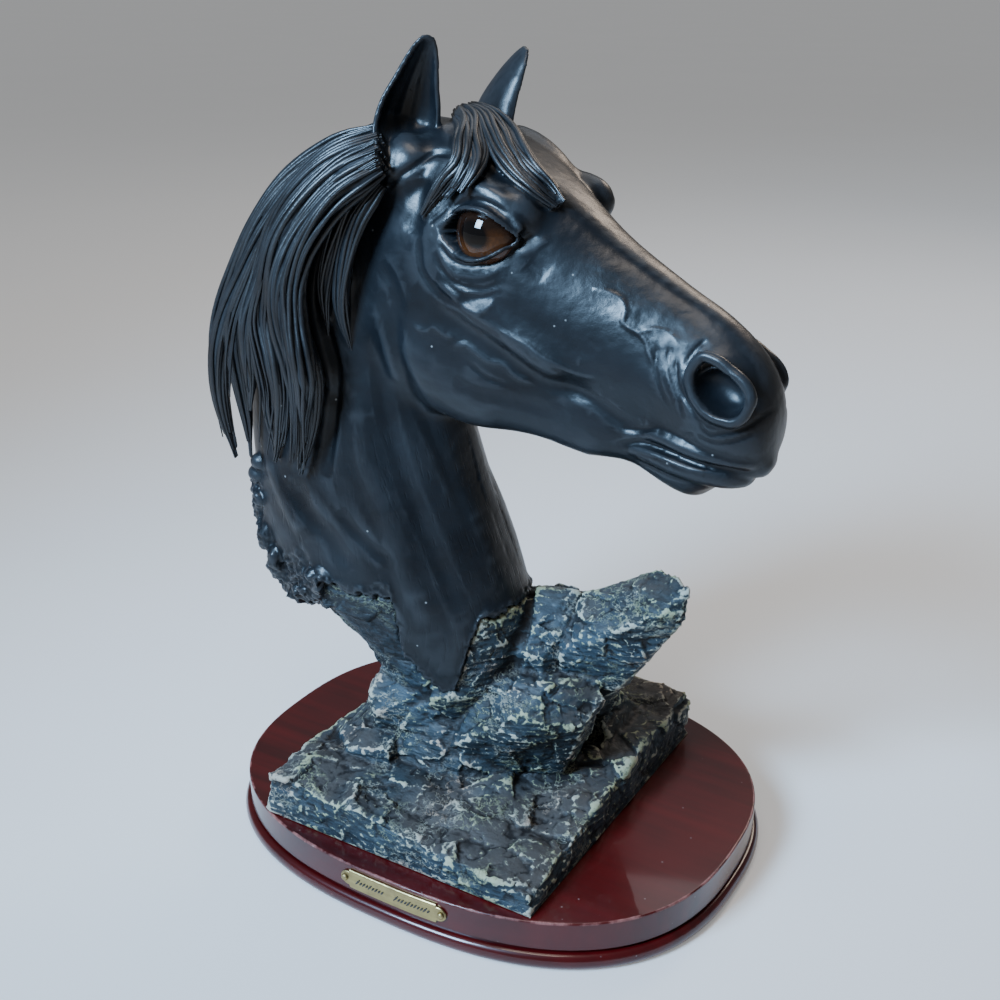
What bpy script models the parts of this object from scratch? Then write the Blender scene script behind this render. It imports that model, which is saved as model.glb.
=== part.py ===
"""Horse head sculpture: a cast head and neck growing out of rocks, on a lacquered wooden plinth.

Sizes are in millimetres and become metres as each piece is finished. +Z is up, +X is the way
the horse faces, and the front of the plinth, with its nameplate, is towards -Y. The origin is
the middle of the plinth's underside.
"""
import math

import bmesh
import bpy
import numpy as np
from mathutils import Matrix, Vector, noise
from mathutils.bvhtree import BVHTree

# Plinth
PLINTH_LENGTH = 261.0
PLINTH_WIDTH = 206.0
PLINTH_HEIGHT = 24.2
PLINTH_SQUARENESS = 2.52
BEAD_HEIGHT = 8.0
BEAD_OUT = 3.0
GROOVE_WIDTH = 1.6
GROOVE_DEPTH = 1.2
TOP_EDGE_ROUND = 0.8
PLINTH_SIDES = 60

# Nameplate and its pins
PLATE_LENGTH = 58.0
PLATE_HEIGHT = 10.0
PLATE_THICKNESS = 0.8
PLATE_TAB = 4.0
PLATE_SHIFT = 6.0
PIN_HEAD_DIAMETER = 3.4
PIN_SHANK_DIAMETER = 1.4
PIN_SHANK_LENGTH = 5.0

# Cast horse and rocks, above the plinth
CASTING_HEIGHT = 360.5
SLAB_LENGTH = 149.0
SLAB_WIDTH = 171.5
SLAB_SHIFT = (-2.4, -6.0)
EYE_DIAMETER = 29.0

# Fits
SEAT_GAP = 0.3
EYE_GAP = 0.3
PIN_GAP = 0.3

# How finely the clay is fused, and how many faces the casting keeps
FLESH_VOXEL = 2.6
CLAY_VOXEL = 1.7
CASTING_FACES = 6640
MM = 0.001

# The forms below are drawn at this height and grow with CASTING_HEIGHT
DRAWN_HEIGHT = 360.5


def clear_scene():
    for item in list(bpy.data.objects):
        bpy.data.objects.remove(item, do_unlink=True)


def material(name, colour, roughness, metallic=0.0):
    made = bpy.data.materials.new(name)
    made.use_nodes = True
    shader = made.node_tree.nodes["Principled BSDF"]
    shader.inputs["Base Color"].default_value = (*colour, 1.0)
    shader.inputs["Roughness"].default_value = roughness
    shader.inputs["Metallic"].default_value = metallic
    return made


def mesh_object(name, points, faces, finish=None):
    """An object from points and faces, with its faces turned outwards."""
    mesh = bpy.data.meshes.new(name)
    mesh.from_pydata([tuple(p) for p in points], [], [tuple(f) for f in faces])
    shape = bmesh.new()
    shape.from_mesh(mesh)
    bmesh.ops.recalc_face_normals(shape, faces=shape.faces)
    shape.to_mesh(mesh)
    shape.free()
    if finish:
        mesh.materials.append(finish)
    made = bpy.data.objects.new(name, mesh)
    bpy.context.collection.objects.link(made)
    return made


def applied(item):
    """The object again with its modifiers applied to its mesh."""
    mesh = bpy.data.meshes.new_from_object(item.evaluated_get(bpy.context.evaluated_depsgraph_get()))
    item.modifiers.clear()
    item.data = mesh
    return item


def cut(item, cutter):
    """Cuts the cutter's shape out of the object."""
    cutter.hide_render = True
    cutter.display_type = "WIRE"
    step = item.modifiers.new("Cut", "BOOLEAN")
    step.operation = "DIFFERENCE"
    step.solver = "EXACT"
    step.object = cutter
    applied(item)
    bpy.data.objects.remove(cutter, do_unlink=True)


def finish_in_metres(item, sharp_angle=40.0):
    item.data.transform(Matrix.Scale(MM, 4))
    item.data.shade_smooth()
    item.data.set_sharp_from_angle(angle=math.radians(sharp_angle))


# Curves and clay forms


def line(*points):
    """A smooth line through (place, value) points, as a function of place."""
    places, values = np.array(points, float).T
    slopes = np.gradient(values, places)

    def at(place):
        place = np.clip(place, places[0], places[-1])
        low = np.clip(np.searchsorted(places, place) - 1, 0, len(places) - 2)
        span = places[low + 1] - places[low]
        f = (place - places[low]) / span
        start = (1 + 2 * f) * (1 - f) ** 2 * values[low] + f * (1 - f) ** 2 * span * slopes[low]
        return start + f * f * (3 - 2 * f) * values[low + 1] + f * f * (f - 1) * span * slopes[low + 1]

    return at


def path(points, count):
    """Evenly spread points along a smooth curve through the given ones."""
    points = np.array(points, float)
    along = np.concatenate([[0], np.cumsum(np.linalg.norm(np.diff(points, axis=0), axis=1))])
    places = np.linspace(0, along[-1], int(count))
    return np.stack([line(*zip(along, points[:, k]))(places) for k in range(points.shape[1])], 1)


def loft(rings):
    """A closed body through rings of points, one after another."""
    rings = np.array(rings)
    count, around = rings.shape[:2]
    faces = [tuple(range(around)), tuple((count - 1) * around + k for k in reversed(range(around)))]
    for r in range(count - 1):
        for k in range(around):
            m = (k + 1) % around
            faces.append((r * around + k, r * around + m, (r + 1) * around + m, (r + 1) * around + k))
    return rings.reshape(-1, 3), faces


def tube(points, radii, flat=1.0, out=(0, 0, 1), sides=8):
    """A tapering tube along a path, thinner by flat in the direction out."""
    points = np.array(points, float)
    ahead = np.gradient(points, axis=0)
    ahead /= np.linalg.norm(ahead, axis=1)[:, None]
    across = np.cross(ahead, np.array(out, float))
    across /= np.linalg.norm(across, axis=1)[:, None] + 1e-9
    lift = np.cross(across, ahead)
    turn = np.linspace(0, 2 * math.pi, sides, endpoint=False)
    wide = np.cos(turn)[None, :, None] * across[:, None, :]
    high = np.sin(turn)[None, :, None] * lift[:, None, :] * flat
    return loft(points[:, None, :] + (wide + high) * np.array(radii, float)[:, None, None])


def ellipsoid(centre, radii, axes=np.eye(3), detail=3):
    """A ball stretched to three radii along three axes."""
    shape = bmesh.new()
    bmesh.ops.create_icosphere(shape, subdivisions=detail, radius=1.0)
    points = np.array([v.co for v in shape.verts])
    faces = [tuple(v.index for v in f.verts) for f in shape.faces]
    shape.free()
    return np.array(centre) + (points * np.array(radii)) @ np.array(axes), faces


def chunk(points):
    """A broken stone: the tight wrap of a few corners."""
    shape = bmesh.new()
    for p in points:
        shape.verts.new(p)
    bmesh.ops.convex_hull(shape, input=list(shape.verts))
    bmesh.ops.delete(shape, geom=[v for v in shape.verts if not v.link_faces], context="VERTS")
    shape.verts.index_update()
    found = np.array([v.co for v in shape.verts]), [tuple(v.index for v in f.verts) for f in shape.faces]
    shape.free()
    return found


def fused(name, forms, voxel, smooth=0):
    """All the forms as one skin, made even and softened."""
    points, faces, offset = [], [], 0
    for form_points, form_faces in forms:
        points.append(form_points)
        faces += [tuple(k + offset for k in f) for f in form_faces]
        offset += len(form_points)
    item = mesh_object(name, np.concatenate(points), faces)
    step = item.modifiers.new("Fuse", "REMESH")
    step.mode = "VOXEL"
    step.voxel_size = voxel
    if smooth:
        step = item.modifiers.new("Soften", "SMOOTH")
        step.factor = 0.5
        step.iterations = smooth
    return applied(item)


def arrays(item):
    """Point and normal arrays of an object's mesh."""
    mesh = item.data
    points = np.empty(len(mesh.vertices) * 3, np.float32)
    normals = np.empty(len(mesh.vertices) * 3, np.float32)
    mesh.vertices.foreach_get("co", points)
    mesh.vertex_normals.foreach_get("vector", normals)
    return points.reshape(-1, 3).astype(float), normals.reshape(-1, 3).astype(float)


def one_body(item):
    """Keeps the largest connected body of a mesh and drops stray crumbs."""
    shape = bmesh.new()
    shape.from_mesh(item.data)
    left, bodies = set(shape.verts), []
    while left:
        grown = [left.pop()]
        for vert in grown:
            for edge in vert.link_edges:
                other = edge.other_vert(vert)
                if other in left:
                    left.remove(other)
                    grown.append(other)
        bodies.append(grown)
    keep = max(bodies, key=len)
    crumbs = [vert for body in bodies if body is not keep for vert in body]
    bmesh.ops.delete(shape, geom=crumbs, context="VERTS")
    shape.to_mesh(item.data)
    shape.free()


def as_form(item):
    """An object's mesh as points and faces; the object itself is removed."""
    points, _ = arrays(item)
    faces = [tuple(f.vertices) for f in item.data.polygons]
    bpy.data.objects.remove(item, do_unlink=True)
    return points, faces


# The head and the neck each have a frame of their own. Heights are above the rock's underside.

HEAD_YAW = math.radians(-8.0)
HEAD_PITCH = math.radians(30.0)
NECK_YAW = math.radians(10.0)
HEAD_ROLL = math.radians(7.0)
HEAD_ORIGIN = np.array([0.0, 0.0, 328.0])
# The head tilts to its far side about the line of the near eye: (down, side)
ROLL_LINE = (30.0, -32.0)


class Frame:
    """Three axes from an origin: along, down (or up) and sideways, negative on the near side."""

    def __init__(self, origin, along, down, side):
        self.origin = origin
        self.axes = np.array([along, down, side])

    def point(self, a, b, c):
        return self.origin + np.stack(np.broadcast_arrays(a, b, c), -1) @ self.axes

    def local(self, points):
        return (points - self.origin) @ self.axes.T


def turned(yaw):
    return np.array([math.cos(yaw), math.sin(yaw), 0.0]), np.array([-math.sin(yaw), math.cos(yaw), 0.0])


HEAD_AHEAD, HEAD_SIDE = turned(HEAD_YAW)
UP = np.array([0.0, 0.0, 1.0])


def head_frame():
    along = HEAD_AHEAD * math.cos(HEAD_PITCH) - UP * math.sin(HEAD_PITCH)
    level = np.array([-HEAD_AHEAD * math.sin(HEAD_PITCH) - UP * math.cos(HEAD_PITCH), HEAD_SIDE])
    c, s = math.cos(HEAD_ROLL), math.sin(HEAD_ROLL)
    tilted = np.array([[c, -s], [s, c]]) @ level
    origin = HEAD_ORIGIN + np.array(ROLL_LINE) @ (level - tilted)
    return Frame(origin, along, tilted[0], tilted[1])


HEAD = head_frame()
NECK_AHEAD, NECK_SIDE = turned(NECK_YAW)
NECK = Frame(np.zeros(3), NECK_AHEAD, UP, NECK_SIDE)


# Head: lines along it, from the poll at -36 to the lips at 186

TOP_LINE = line((-38, 22), (-20, 13), (-5, 5), (15, 1), (40, 0), (75, 2.2), (110, 0.6), (140, -1.4), (156, 1.5),
                (168, 8), (177, 18), (184, 33))
BOTTOM_LINE = line((-38, 56), (-32, 82), (-22, 103), (-10, 118), (4, 121.5), (20, 122.5), (36, 121.5),
                   (56, 117.5), (76, 109.5), (86, 102), (96, 96), (110, 90), (122, 85.5), (134, 76), (144, 72),
                   (154, 70.5), (162, 67.5), (169, 62), (175, 53), (184, 40))
TOP_WIDTH = line((-38, 12), (-20, 20), (0, 24), (30, 25), (55, 20), (80, 15), (110, 12), (140, 10.5), (158, 11),
                 (170, 11), (180, 9), (186, 4))
SIDE_WIDTH = line((-38, 20), (-20, 29), (0, 33), (28, 36), (52, 34), (75, 29), (100, 24), (125, 20.5), (145, 21),
                  (158, 22), (168, 19), (177, 13), (184, 4))
SIDE_DEPTH = line((-38, 34), (0, 36), (30, 32), (60, 38), (90, 42), (120, 36), (150, 30), (170, 34), (186, 37))
JAW_WIDTH = line((-38, 18), (-28, 29), (-10, 34), (15, 35.5), (40, 34), (62, 29), (85, 22.5), (110, 17.5), (137, 14.5),
                 (155, 15.5), (167, 14), (177, 10), (184, 4))


def head_ring(t):
    """The head's section at t: brow, side and jaw on both sides, smoothed into one ring."""
    top, bottom = TOP_LINE(t), BOTTOM_LINE(t)
    drop = bottom - top
    half = [
        (0, top),
        (TOP_WIDTH(t) * 0.62, top + 0.012 * drop),
        (TOP_WIDTH(t), top + 0.07 * drop),
        (SIDE_WIDTH(t), min(SIDE_DEPTH(t), top + 0.5 * drop)),
        (JAW_WIDTH(t), top + 0.66 * drop),
        (JAW_WIDTH(t) * 0.97, bottom - 0.16 * drop),
        (JAW_WIDTH(t) * 0.62, bottom - 0.02 * drop),
        (0, bottom - 0.03 * drop),
    ]
    ring = half + [(-s, d) for s, d in reversed(half[1:-1])]
    ring = path(ring + [ring[0]], 41)[:-1]
    return HEAD.point(t, ring[:, 1], ring[:, 0])


def head_body():
    stations = np.concatenate([np.linspace(-38, 20, 14), np.linspace(26, 150, 18), np.linspace(155, 186, 10)])
    return loft([head_ring(t) for t in stations])


# Neck: its front and back lines and half width at each height

NECK_FRONT = line((40, 4), (56, 10), (70, 15), (88, 17), (110, 12), (130, 5), (155, -4), (185, -13), (215, -23),
                  (245, -31), (275, -36), (318, -44))
NECK_BACK = line((40, -48), (56, -59), (70, -72), (84, -90), (96, -111), (110, -122), (125, -127), (150, -128),
                 (187, -129), (217, -128), (245, -119), (265, -108), (285, -90), (303, -70), (318, -50))
NECK_WIDTH = line((40, 32), (60, 35), (80, 38), (100, 40), (125, 39), (160, 36), (200, 32), (235, 30), (265, 28),
                  (290, 24), (310, 17), (318, 8))


def neck_ring(z, around=36):
    """The neck's section: an egg, fuller towards the throat and thin at the crest."""
    front, back, width = NECK_FRONT(z), NECK_BACK(z), NECK_WIDTH(z)
    turn = np.linspace(0, 2 * math.pi, around, endpoint=False)
    middle, half = (front + back) / 2, (front - back) / 2
    c, s = np.cos(turn), np.sin(turn)
    along = middle + half * np.sign(c) * np.abs(c) ** 0.9
    side = width * np.sign(s) * np.abs(s) ** 0.85 * (1 + 0.14 * c - 0.1 * c * c)
    return NECK.point(along, np.full(around, z), side)


def neck_body():
    return loft([neck_ring(z) for z in np.linspace(40, 318, 40)])


def head_lump(t, d, s, radii):
    """A muscle or bone under the skin, on both sides of the head."""
    return [ellipsoid(HEAD.point(t, d, side * s), radii, HEAD.axes) for side in (-1, 1)]


def flesh():
    """The soft masses, fused and smoothed until they run into each other."""
    forms = [head_body(), neck_body()]
    forms += head_lump(34, 17, 32, (20, 10, 10))
    forms += head_lump(8, 90, 27, (34, 32, 8))
    forms += head_lump(66, 58, 24, (32, 7, 7))
    forms += [ellipsoid(HEAD.point(14, 10.5, 23), (24, 10, 10), HEAD.axes)]
    forms += head_lump(41, 10, 31, (13, 9, 9))
    forms += head_lump(-14, 34, 26, (16, 16, 12))
    forms += head_lump(154, 18, 13, (14, 12, 10))
    forms += [ellipsoid(HEAD.point(157, 61, 0), (14, 9, 13), HEAD.axes)]
    forms += [ellipsoid(HEAD.point(171, 35, 0), (9.5, 15, 13), HEAD.axes)]
    return as_form(fused("flesh", forms, FLESH_VOXEL, smooth=10))


# Crisp forms of the head


EYE_PLACE = (38.0, 28.5)
EYE_OUT = 25.5
LID_TURN = math.radians(-31.0)
UPPER_LID = ((-18, 1.5), (-12, -6), (-3, -9.6), (7, -8.4), (13, -4), (18, 2))
LOWER_LID = ((-18, 1.5), (-11, 6.5), (-1, 9), (9, 7), (14, 4), (18, 2))


def eye_middle(side):
    return HEAD.point(*EYE_PLACE, side * EYE_OUT)


def lid_path(outline, side, grow, count=18):
    """A lid's edge, laid on a ball a little larger than the eye."""
    flat = path(outline, count)
    reach = EYE_DIAMETER / 2 + grow
    run, drop = flat[:, 0], flat[:, 1]
    rise = np.sqrt(np.maximum(reach ** 2 - run ** 2 - drop ** 2, (0.42 * reach) ** 2))
    t = EYE_PLACE[0] + run * math.cos(LID_TURN) - drop * math.sin(LID_TURN)
    d = EYE_PLACE[1] + run * math.sin(LID_TURN) + drop * math.cos(LID_TURN)
    return HEAD.point(t, d, side * (EYE_OUT + rise))


def swell(count, thick, ends):
    """Radii that are thin at both ends and thick between."""
    f = np.linspace(0, 1, count)
    return ends + (thick - ends) * np.sin(math.pi * f) ** 0.7


def eyelids():
    forms = []
    for side in (-1, 1):
        out = HEAD.axes[2] * side
        forms.append(tube(lid_path(UPPER_LID, side, 1.6), swell(18, 2.6, 1.3), out=out))
        forms.append(tube(lid_path(LOWER_LID, side, 1.2), swell(18, 2.3, 1.2), out=out))
        upper = [(x * 1.05, y * 1.35 - 2.5) for x, y in UPPER_LID]
        forms.append(tube(lid_path(upper, side, 0.6), swell(18, 3.2, 1.6), out=out))
    return forms


EAR_WIDTH = line((0, 13), (0.2, 15.5), (0.4, 14.5), (0.62, 10.5), (0.82, 7.2), (0.94, 4.8), (1, 2.8))
EAR_DEPTH = line((0, 13), (0.3, 11.5), (0.6, 8.5), (0.85, 4.8), (1, 1.6))


# The near ear stands a little further back than the far one
EAR_FEET = {-1: (-19.5, 30, -27), 1: (-14, 30, 27)}
EAR_SPREAD = {-1: 0.88, 1: 1.38}
EAR_TIPS = {-1: (-32, -18.5, -27), 1: (-21, -23, 27)}


def ear(side):
    """A leaf-shaped ear, open forwards and outwards, with a rolled rim."""
    foot = HEAD.point(*EAR_FEET[side])
    tip = HEAD.point(*EAR_TIPS[side])
    lean = NECK_SIDE * side
    rise = (tip - foot) / np.linalg.norm(tip - foot)
    mouth = HEAD_AHEAD * 0.72 + lean * 0.69
    mouth -= rise * (mouth @ rise)
    mouth /= np.linalg.norm(mouth)
    across = np.cross(rise, mouth)
    rings = []
    for h in np.linspace(-0.25, 1, 26):
        k = max(h, 0.0)
        wide, deep = EAR_WIDTH(k) * EAR_SPREAD[side], EAR_DEPTH(k)
        wall = 2.8 - 0.3 * k
        hollow = min(max((h - 0.02) / 0.25, 0.0), 1.0)
        turn = np.linspace(0, math.pi, 13)
        back = np.stack([wide * np.cos(turn), -deep * np.sin(turn)], 1)
        depth = (deep - wall) * hollow - 3.0 * (1 - hollow)
        front = np.stack([max(wide - wall, 0.3) * np.cos(turn[::-1]), -depth * np.sin(turn[::-1])], 1)
        section = np.concatenate([back, front])
        bow = 3.0 * math.sin(math.pi * min(max(h, 0), 1))
        centre = foot + (tip - foot) * h + mouth * (deep * 0.35 - bow)
        rings.append(centre + section[:, :1] * across + section[:, 1:] * mouth)
    return loft(rings)


# How far out and how far forward each nostril stands, and its rim about its middle
NOSTRIL_OUT = {-1: 21.5, 1: 14.5}
NOSTRIL_ALONG = {-1: 154.5, 1: 151.5}
NOSTRIL_DOWN = 15.5
NOSTRIL_RIM = ((-12.8, -7.1), (-13.6, -2.2), (-12.5, 3.3), (-8.5, 7), (-2.3, 9.7), (3.2, 10), (8.5, 8.1), (12.1, 6),
               (13.7, 2.4), (13.3, -1.9), (12.2, -5.9), (9.2, -8.2), (4.7, -9.3), (-1.1, -9.2), (-6.2, -9.1),
               (-12.8, -7.1))


def nostril_rims():
    forms = []
    for side in (-1, 1):
        rim = path(NOSTRIL_RIM, 33)
        out = NOSTRIL_OUT[side] - 0.05 * rim[:, 0]
        points = HEAD.point(NOSTRIL_ALONG[side] + rim[:, 0], NOSTRIL_DOWN + rim[:, 1], side * out)
        forms.append(tube(points, np.full(33, 2.8), out=HEAD.axes[2] * side))
    return forms


# The line where the lips meet: (along, down, half width)
MOUTH = ((134, 64, 10), (139, 58.5, 12), (146, 54.5, 13.5), (154, 51, 14.5), (163, 47.5, 14), (170, 44, 12),
         (177, 40.5, 7), (180, 38.5, 0))
LOWER_LIP_DROP = 6.5
UPPER_LIP_RISE = 4.5


def both_sides(points):
    """A line that runs from one side round the front to the other."""
    near = [(t, d, -s) for t, d, s in points]
    return near + [(t, d, s) for t, d, s in reversed(points[:-1])]


def lips():
    mouth = path(both_sides(MOUTH), 41)
    lower = HEAD.point(mouth[:, 0] - 3, mouth[:, 1] + LOWER_LIP_DROP, mouth[:, 2] * 0.85)
    upper = HEAD.point(mouth[:, 0], mouth[:, 1] - UPPER_LIP_RISE, mouth[:, 2])
    return [tube(lower, swell(41, 5.6, 2.5)), tube(upper, swell(41, 4.4, 2.5))]


# Hair: lines down the near side of the mane, from its crest to its free front edge

MANE_GUIDES = (
    ((-50, 319, -8), (-72, 311, -9), (-94.5, 296, -10), (-110, 276, -11), (-122, 254, -12), (-132, 233, -12),
     (-136, 215, -13), (-138, 198, -14), (-137, 182, -15), (-134, 165, -16)),
    ((-46, 319, -18), (-64, 310, -21), (-82, 295, -23), (-98, 275, -25), (-110, 253, -26), (-121, 230, -27),
     (-126, 210, -28), (-127, 194, -28), (-126, 180, -27), (-123, 165, -27)),
    ((-42, 317, -26), (-57, 309, -30), (-74, 294, -33), (-87, 276, -35), (-94, 256, -36), (-100, 237, -36),
     (-98, 224, -37), (-96, 207, -37), (-99, 190, -36), (-104, 168, -34)),
    ((-40, 313, -29), (-55, 304, -33), (-69, 290, -37), (-79, 274, -39), (-84, 257, -40), (-85, 240, -40),
     (-82, 224, -41), (-81, 208, -41), (-83, 191, -40), (-88, 172, -37)),
    ((-39, 307, -30), (-54, 297, -35), (-66, 284, -39), (-75, 270, -42), (-79, 257, -43), (-78, 241, -43),
     (-74, 227, -44), (-72, 216, -44), (-74, 196, -43), (-78, 160, -38)),
)
# Flat hair between the mane and the cheek
STRIP_GUIDES = (
    ((-42, 306, -29), (-54, 293, -32), (-63, 275, -33), (-69, 255, -32), (-70, 232, -30)),
    ((-40, 300, -30), (-50, 286, -33), (-58, 266, -33), (-61, 246, -32), (-59, 226, -29)),
)
NEAR_LOCKS = 11
FAR_LOCKS = 6
LOCK_RADIUS = 5.6
STRIP_RADIUS = 3.6


def mane_line(f):
    """The line at f across the mane, from its crest at 0 to its front edge at 1."""
    guides = np.array([path(g, 28) for g in MANE_GUIDES])
    low = min(int(f * (len(guides) - 1)), len(guides) - 2)
    rest = f * (len(guides) - 1) - low
    return guides[low] * (1 - rest) + guides[low + 1] * rest


def wavy(points, wave):
    """A lock's line with the bends of its own."""
    along = np.linspace(0, 1, len(points))
    points = points.copy()
    points[:, 0] += 2.2 * np.sin(2 * math.pi * (1.3 * along + wave)) * along
    points[:, 2] += 1.2 * np.sin(2 * math.pi * (2 * along + 2.3 * wave))
    return points


def lock(points, reach, lift, radius, side):
    """One lock of hair along a line, cut to its reach and tapering at its end."""
    points = points[: max(4, int(len(points) * reach))].copy()
    points[:, 2] -= lift
    radii = radius * np.clip(6 * np.linspace(1, 0, len(points)), 0.3, 1) ** 0.6
    radii[:3] *= (0.6, 0.8, 0.95)
    return tube(NECK.point(points[:, 0], points[:, 1], points[:, 2] * -side), radii, out=NECK_SIDE)


def mane():
    forms = []
    for k in range(NEAR_LOCKS):
        f = k / (NEAR_LOCKS - 1)
        reach = 1.0 - 0.12 * (k % 3 == 1)
        forms.append(lock(wavy(mane_line(f), 0.37 * k), reach, 1.5 * (-1) ** k, LOCK_RADIUS, -1))
    for k in range(FAR_LOCKS):
        f = (k + 0.5) / FAR_LOCKS
        forms.append(lock(wavy(mane_line(f), 0.29 * k + 0.2), 0.95 - 0.14 * (k % 2), (-1) ** k, LOCK_RADIUS * 1.1, 1))
    for side in (-1, 1):
        forms += [lock(path(g, 20), 1.0, 0.0, STRIP_RADIUS, side) for g in STRIP_GUIDES]
    return forms


def mane_grooves():
    """Lines pressed between neighbouring locks."""
    near = [(-1, wavy(mane_line((k + 0.5) / (NEAR_LOCKS - 1)), 0.37 * k + 0.18)) for k in range(NEAR_LOCKS - 1)]
    far = [(1, wavy(mane_line((k + 1.0) / FAR_LOCKS), 0.29 * k + 0.35)) for k in range(FAR_LOCKS - 1)]
    return [(side, points[:-4, :2]) for side, points in near + far]


# Locks of the forelock in the head's frame: three fall to the near eye, three run ahead
FORELOCK = (
    ((-16, 9, -4), (-4, 6.5, -14), (5, 9, -25), (12, 15, -31), (11, 24, -33.5), (10.5, 33, -35), (10.5, 42, -35.5)),
    ((-16, 8.5, -3), (-4, 5.5, -12), (7, 6.5, -22.5), (15, 11, -29.5), (18, 18, -34), (17, 27, -36)),
    ((-16, 8, -2), (-4, 4.5, -10), (8, 5.5, -20.5), (17, 8, -27), (22, 11, -33.5), (23.5, 20, -38)),
    ((-16, 8, -1), (-3, 2.5, -7), (10, 2, -15.5), (22, 4, -21), (34, 5, -24), (45, 5, -24), (54, 6, -19)),
    ((-16, 7, 1), (-3, 2, -4), (11, 1, -11), (23, 2.5, -17.5), (34, 3.5, -20.5), (44, 3.5, -20), (51, 4, -17)),
    ((-16, 7, 4), (-2, 2, 0), (12, 0, -6.5), (24, 0.5, -13), (36, 1, -16.5), (46, 1.5, -15.5), (55, 3, -16.5)),
)
FORELOCK_RADIUS = 3.8
FORELOCK_LIFT = 2.0


def forelock_out(tip):
    """Which way a lock lies off the brow: up and, near the eye, outwards."""
    out = np.array([0.0, -1.0, tip[2] / 45.0])
    return out / np.linalg.norm(out)


def forelock():
    """Two bunches of locks that fall from between the ears, one to the near eye and one ahead."""
    forms = []
    for line_points in FORELOCK:
        points = path(line_points, 20)
        radii = FORELOCK_RADIUS * np.clip(2.6 * np.linspace(1, 0, 20), 0.25, 1) ** 0.7
        out = HEAD.axes.T @ forelock_out(points[-1])
        centres = HEAD.point(points[:, 0], points[:, 1], points[:, 2]) + FORELOCK_LIFT * out
        forms.append(tube(centres, radii, out=out))
    return forms


# Torn lower edge of the neck

TORN_LINE = ((-132, 156), (-133, 140), (-131, 122), (-124, 106), (-117, 89), (-105, 93), (-92, 107))
TORN_LUMPS = 46
# Ragged line on both sides of the neck where the horse ends and rock begins: (along, up)
SKIN_EDGE = line((-112, 128), (-94, 126), (-77, 124), (-64, 115), (-48, 107), (-41, 84), (-32, 66), (-13, 63),
                 (-4, 78), (0, 97), (15, 108), (34, 116))


def torn_edge():
    """Rough lumps along the broken back edge of the neck, across its whole thickness."""
    rng = np.random.default_rng(11)
    forms = []
    edge = path(TORN_LINE, TORN_LUMPS)
    for k, (u, z) in enumerate(edge):
        across = (k * 0.618 % 1.0) * 2 - 1
        size = rng.uniform(6, 11)
        inward = 7 + 9 * across ** 2
        corners = rng.normal(size=(9, 3))
        corners *= size / np.linalg.norm(corners, axis=1)[:, None]
        forms.append(chunk(NECK.point(u + inward, z + inward * 0.3, across * 34) + corners))
    return forms


# Rocks

KNOLL = ((-20, 2, 8), (56, 52, 54))
LEDGE = ((-48, -45, 50), (-46, -31, 60), (-18, -37, 60), (-5, -34, 52), (-42, -48, 45), (-60, -10, 52), (-20, -10, 62),
         (-62, 6, 40), (-44, -42, 28), (-8, -36, 28), (-50, -10, 14), (0, -10, 30))
BLOCK = ((16, 10, 104), (35, 19, 103), (42, 34, 95), (0, 32, 93), (10, 2, 97), (12, -15, 82), (30, -9, 78),
         (36, 6, 94), (-10, -14, 50), (30, -8, 40), (50, 40, 30), (-8, 46, 30), (50, 22, 66), (-10, -10, 20))
BIG_ROCK = ((39, 16, 104), (71, 35, 118), (95, 15, 122), (94, 13, 106), (82, 11, 94), (66, 8, 66), (47, -1, 94),
            (68, -1, 100), (85, 6, 110), (36, -5, 78), (55, 4, 70), (70, 34, 104), (52, 42, 84), (44, 44, 56),
            (54, 18, 46), (44, 8, 40), (46, 40, 46))
BOULDER = ((3, -9, 69), (37, -21, 69), (52, 4, 68), (61, -1, 60), (58, -16, 52), (42, -30, 56), (34, -33, 48),
           (-3, -42, 34), (9, -19, 68), (33, -32, 60), (44, -14, 16), (10, -30, 12), (-14, -30, 14), (44, 4, 16))
RIGHT_STONE = ((58, 36, 22), (44, 46, 36), (18, 50, 46), (58, 58, 20), (26, 30, 54), (12, 62, 30), (60, 18, 18),
               (60, 64, 8), (10, 66, 8), (10, 20, 8), (64, 20, 8))
BACK_STONE = ((-58, 44, 28), (-34, 54, 36), (-22, 34, 60), (-48, 20, 62), (-62, 56, 20), (-16, 60, 26), (-8, 22, 46),
              (-64, 28, 24), (-64, 64, 8), (-10, 64, 8), (-10, 20, 8), (-64, 20, 8))
LEFT_STONE = ((-66, -20, 30), (-50, -34, 36), (-30, -54, 30), (-52, -58, 26), (-68, -44, 24), (-40, -20, 40),
              (-66, -20, 8), (-66, -52, 8), (-30, -56, 8), (-30, -20, 8))
FRONT_STONE = ((12, -62, 22), (40, -58, 17), (52, -74, 13), (30, -82, 12), (6, -78, 17), (24, -48, 20), (50, -60, 4),
               (10, -80, 4), (30, -46, 4), (46, -80, 4))
STONES = (LEDGE, BLOCK, BIG_ROCK, BOULDER, RIGHT_STONE, BACK_STONE, LEFT_STONE, FRONT_STONE)
# Height of the slab's corners: front left, front right, back right, back left
CORNER_HEIGHTS = (22.0, 10.0, 27.0, 26.0)


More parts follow.
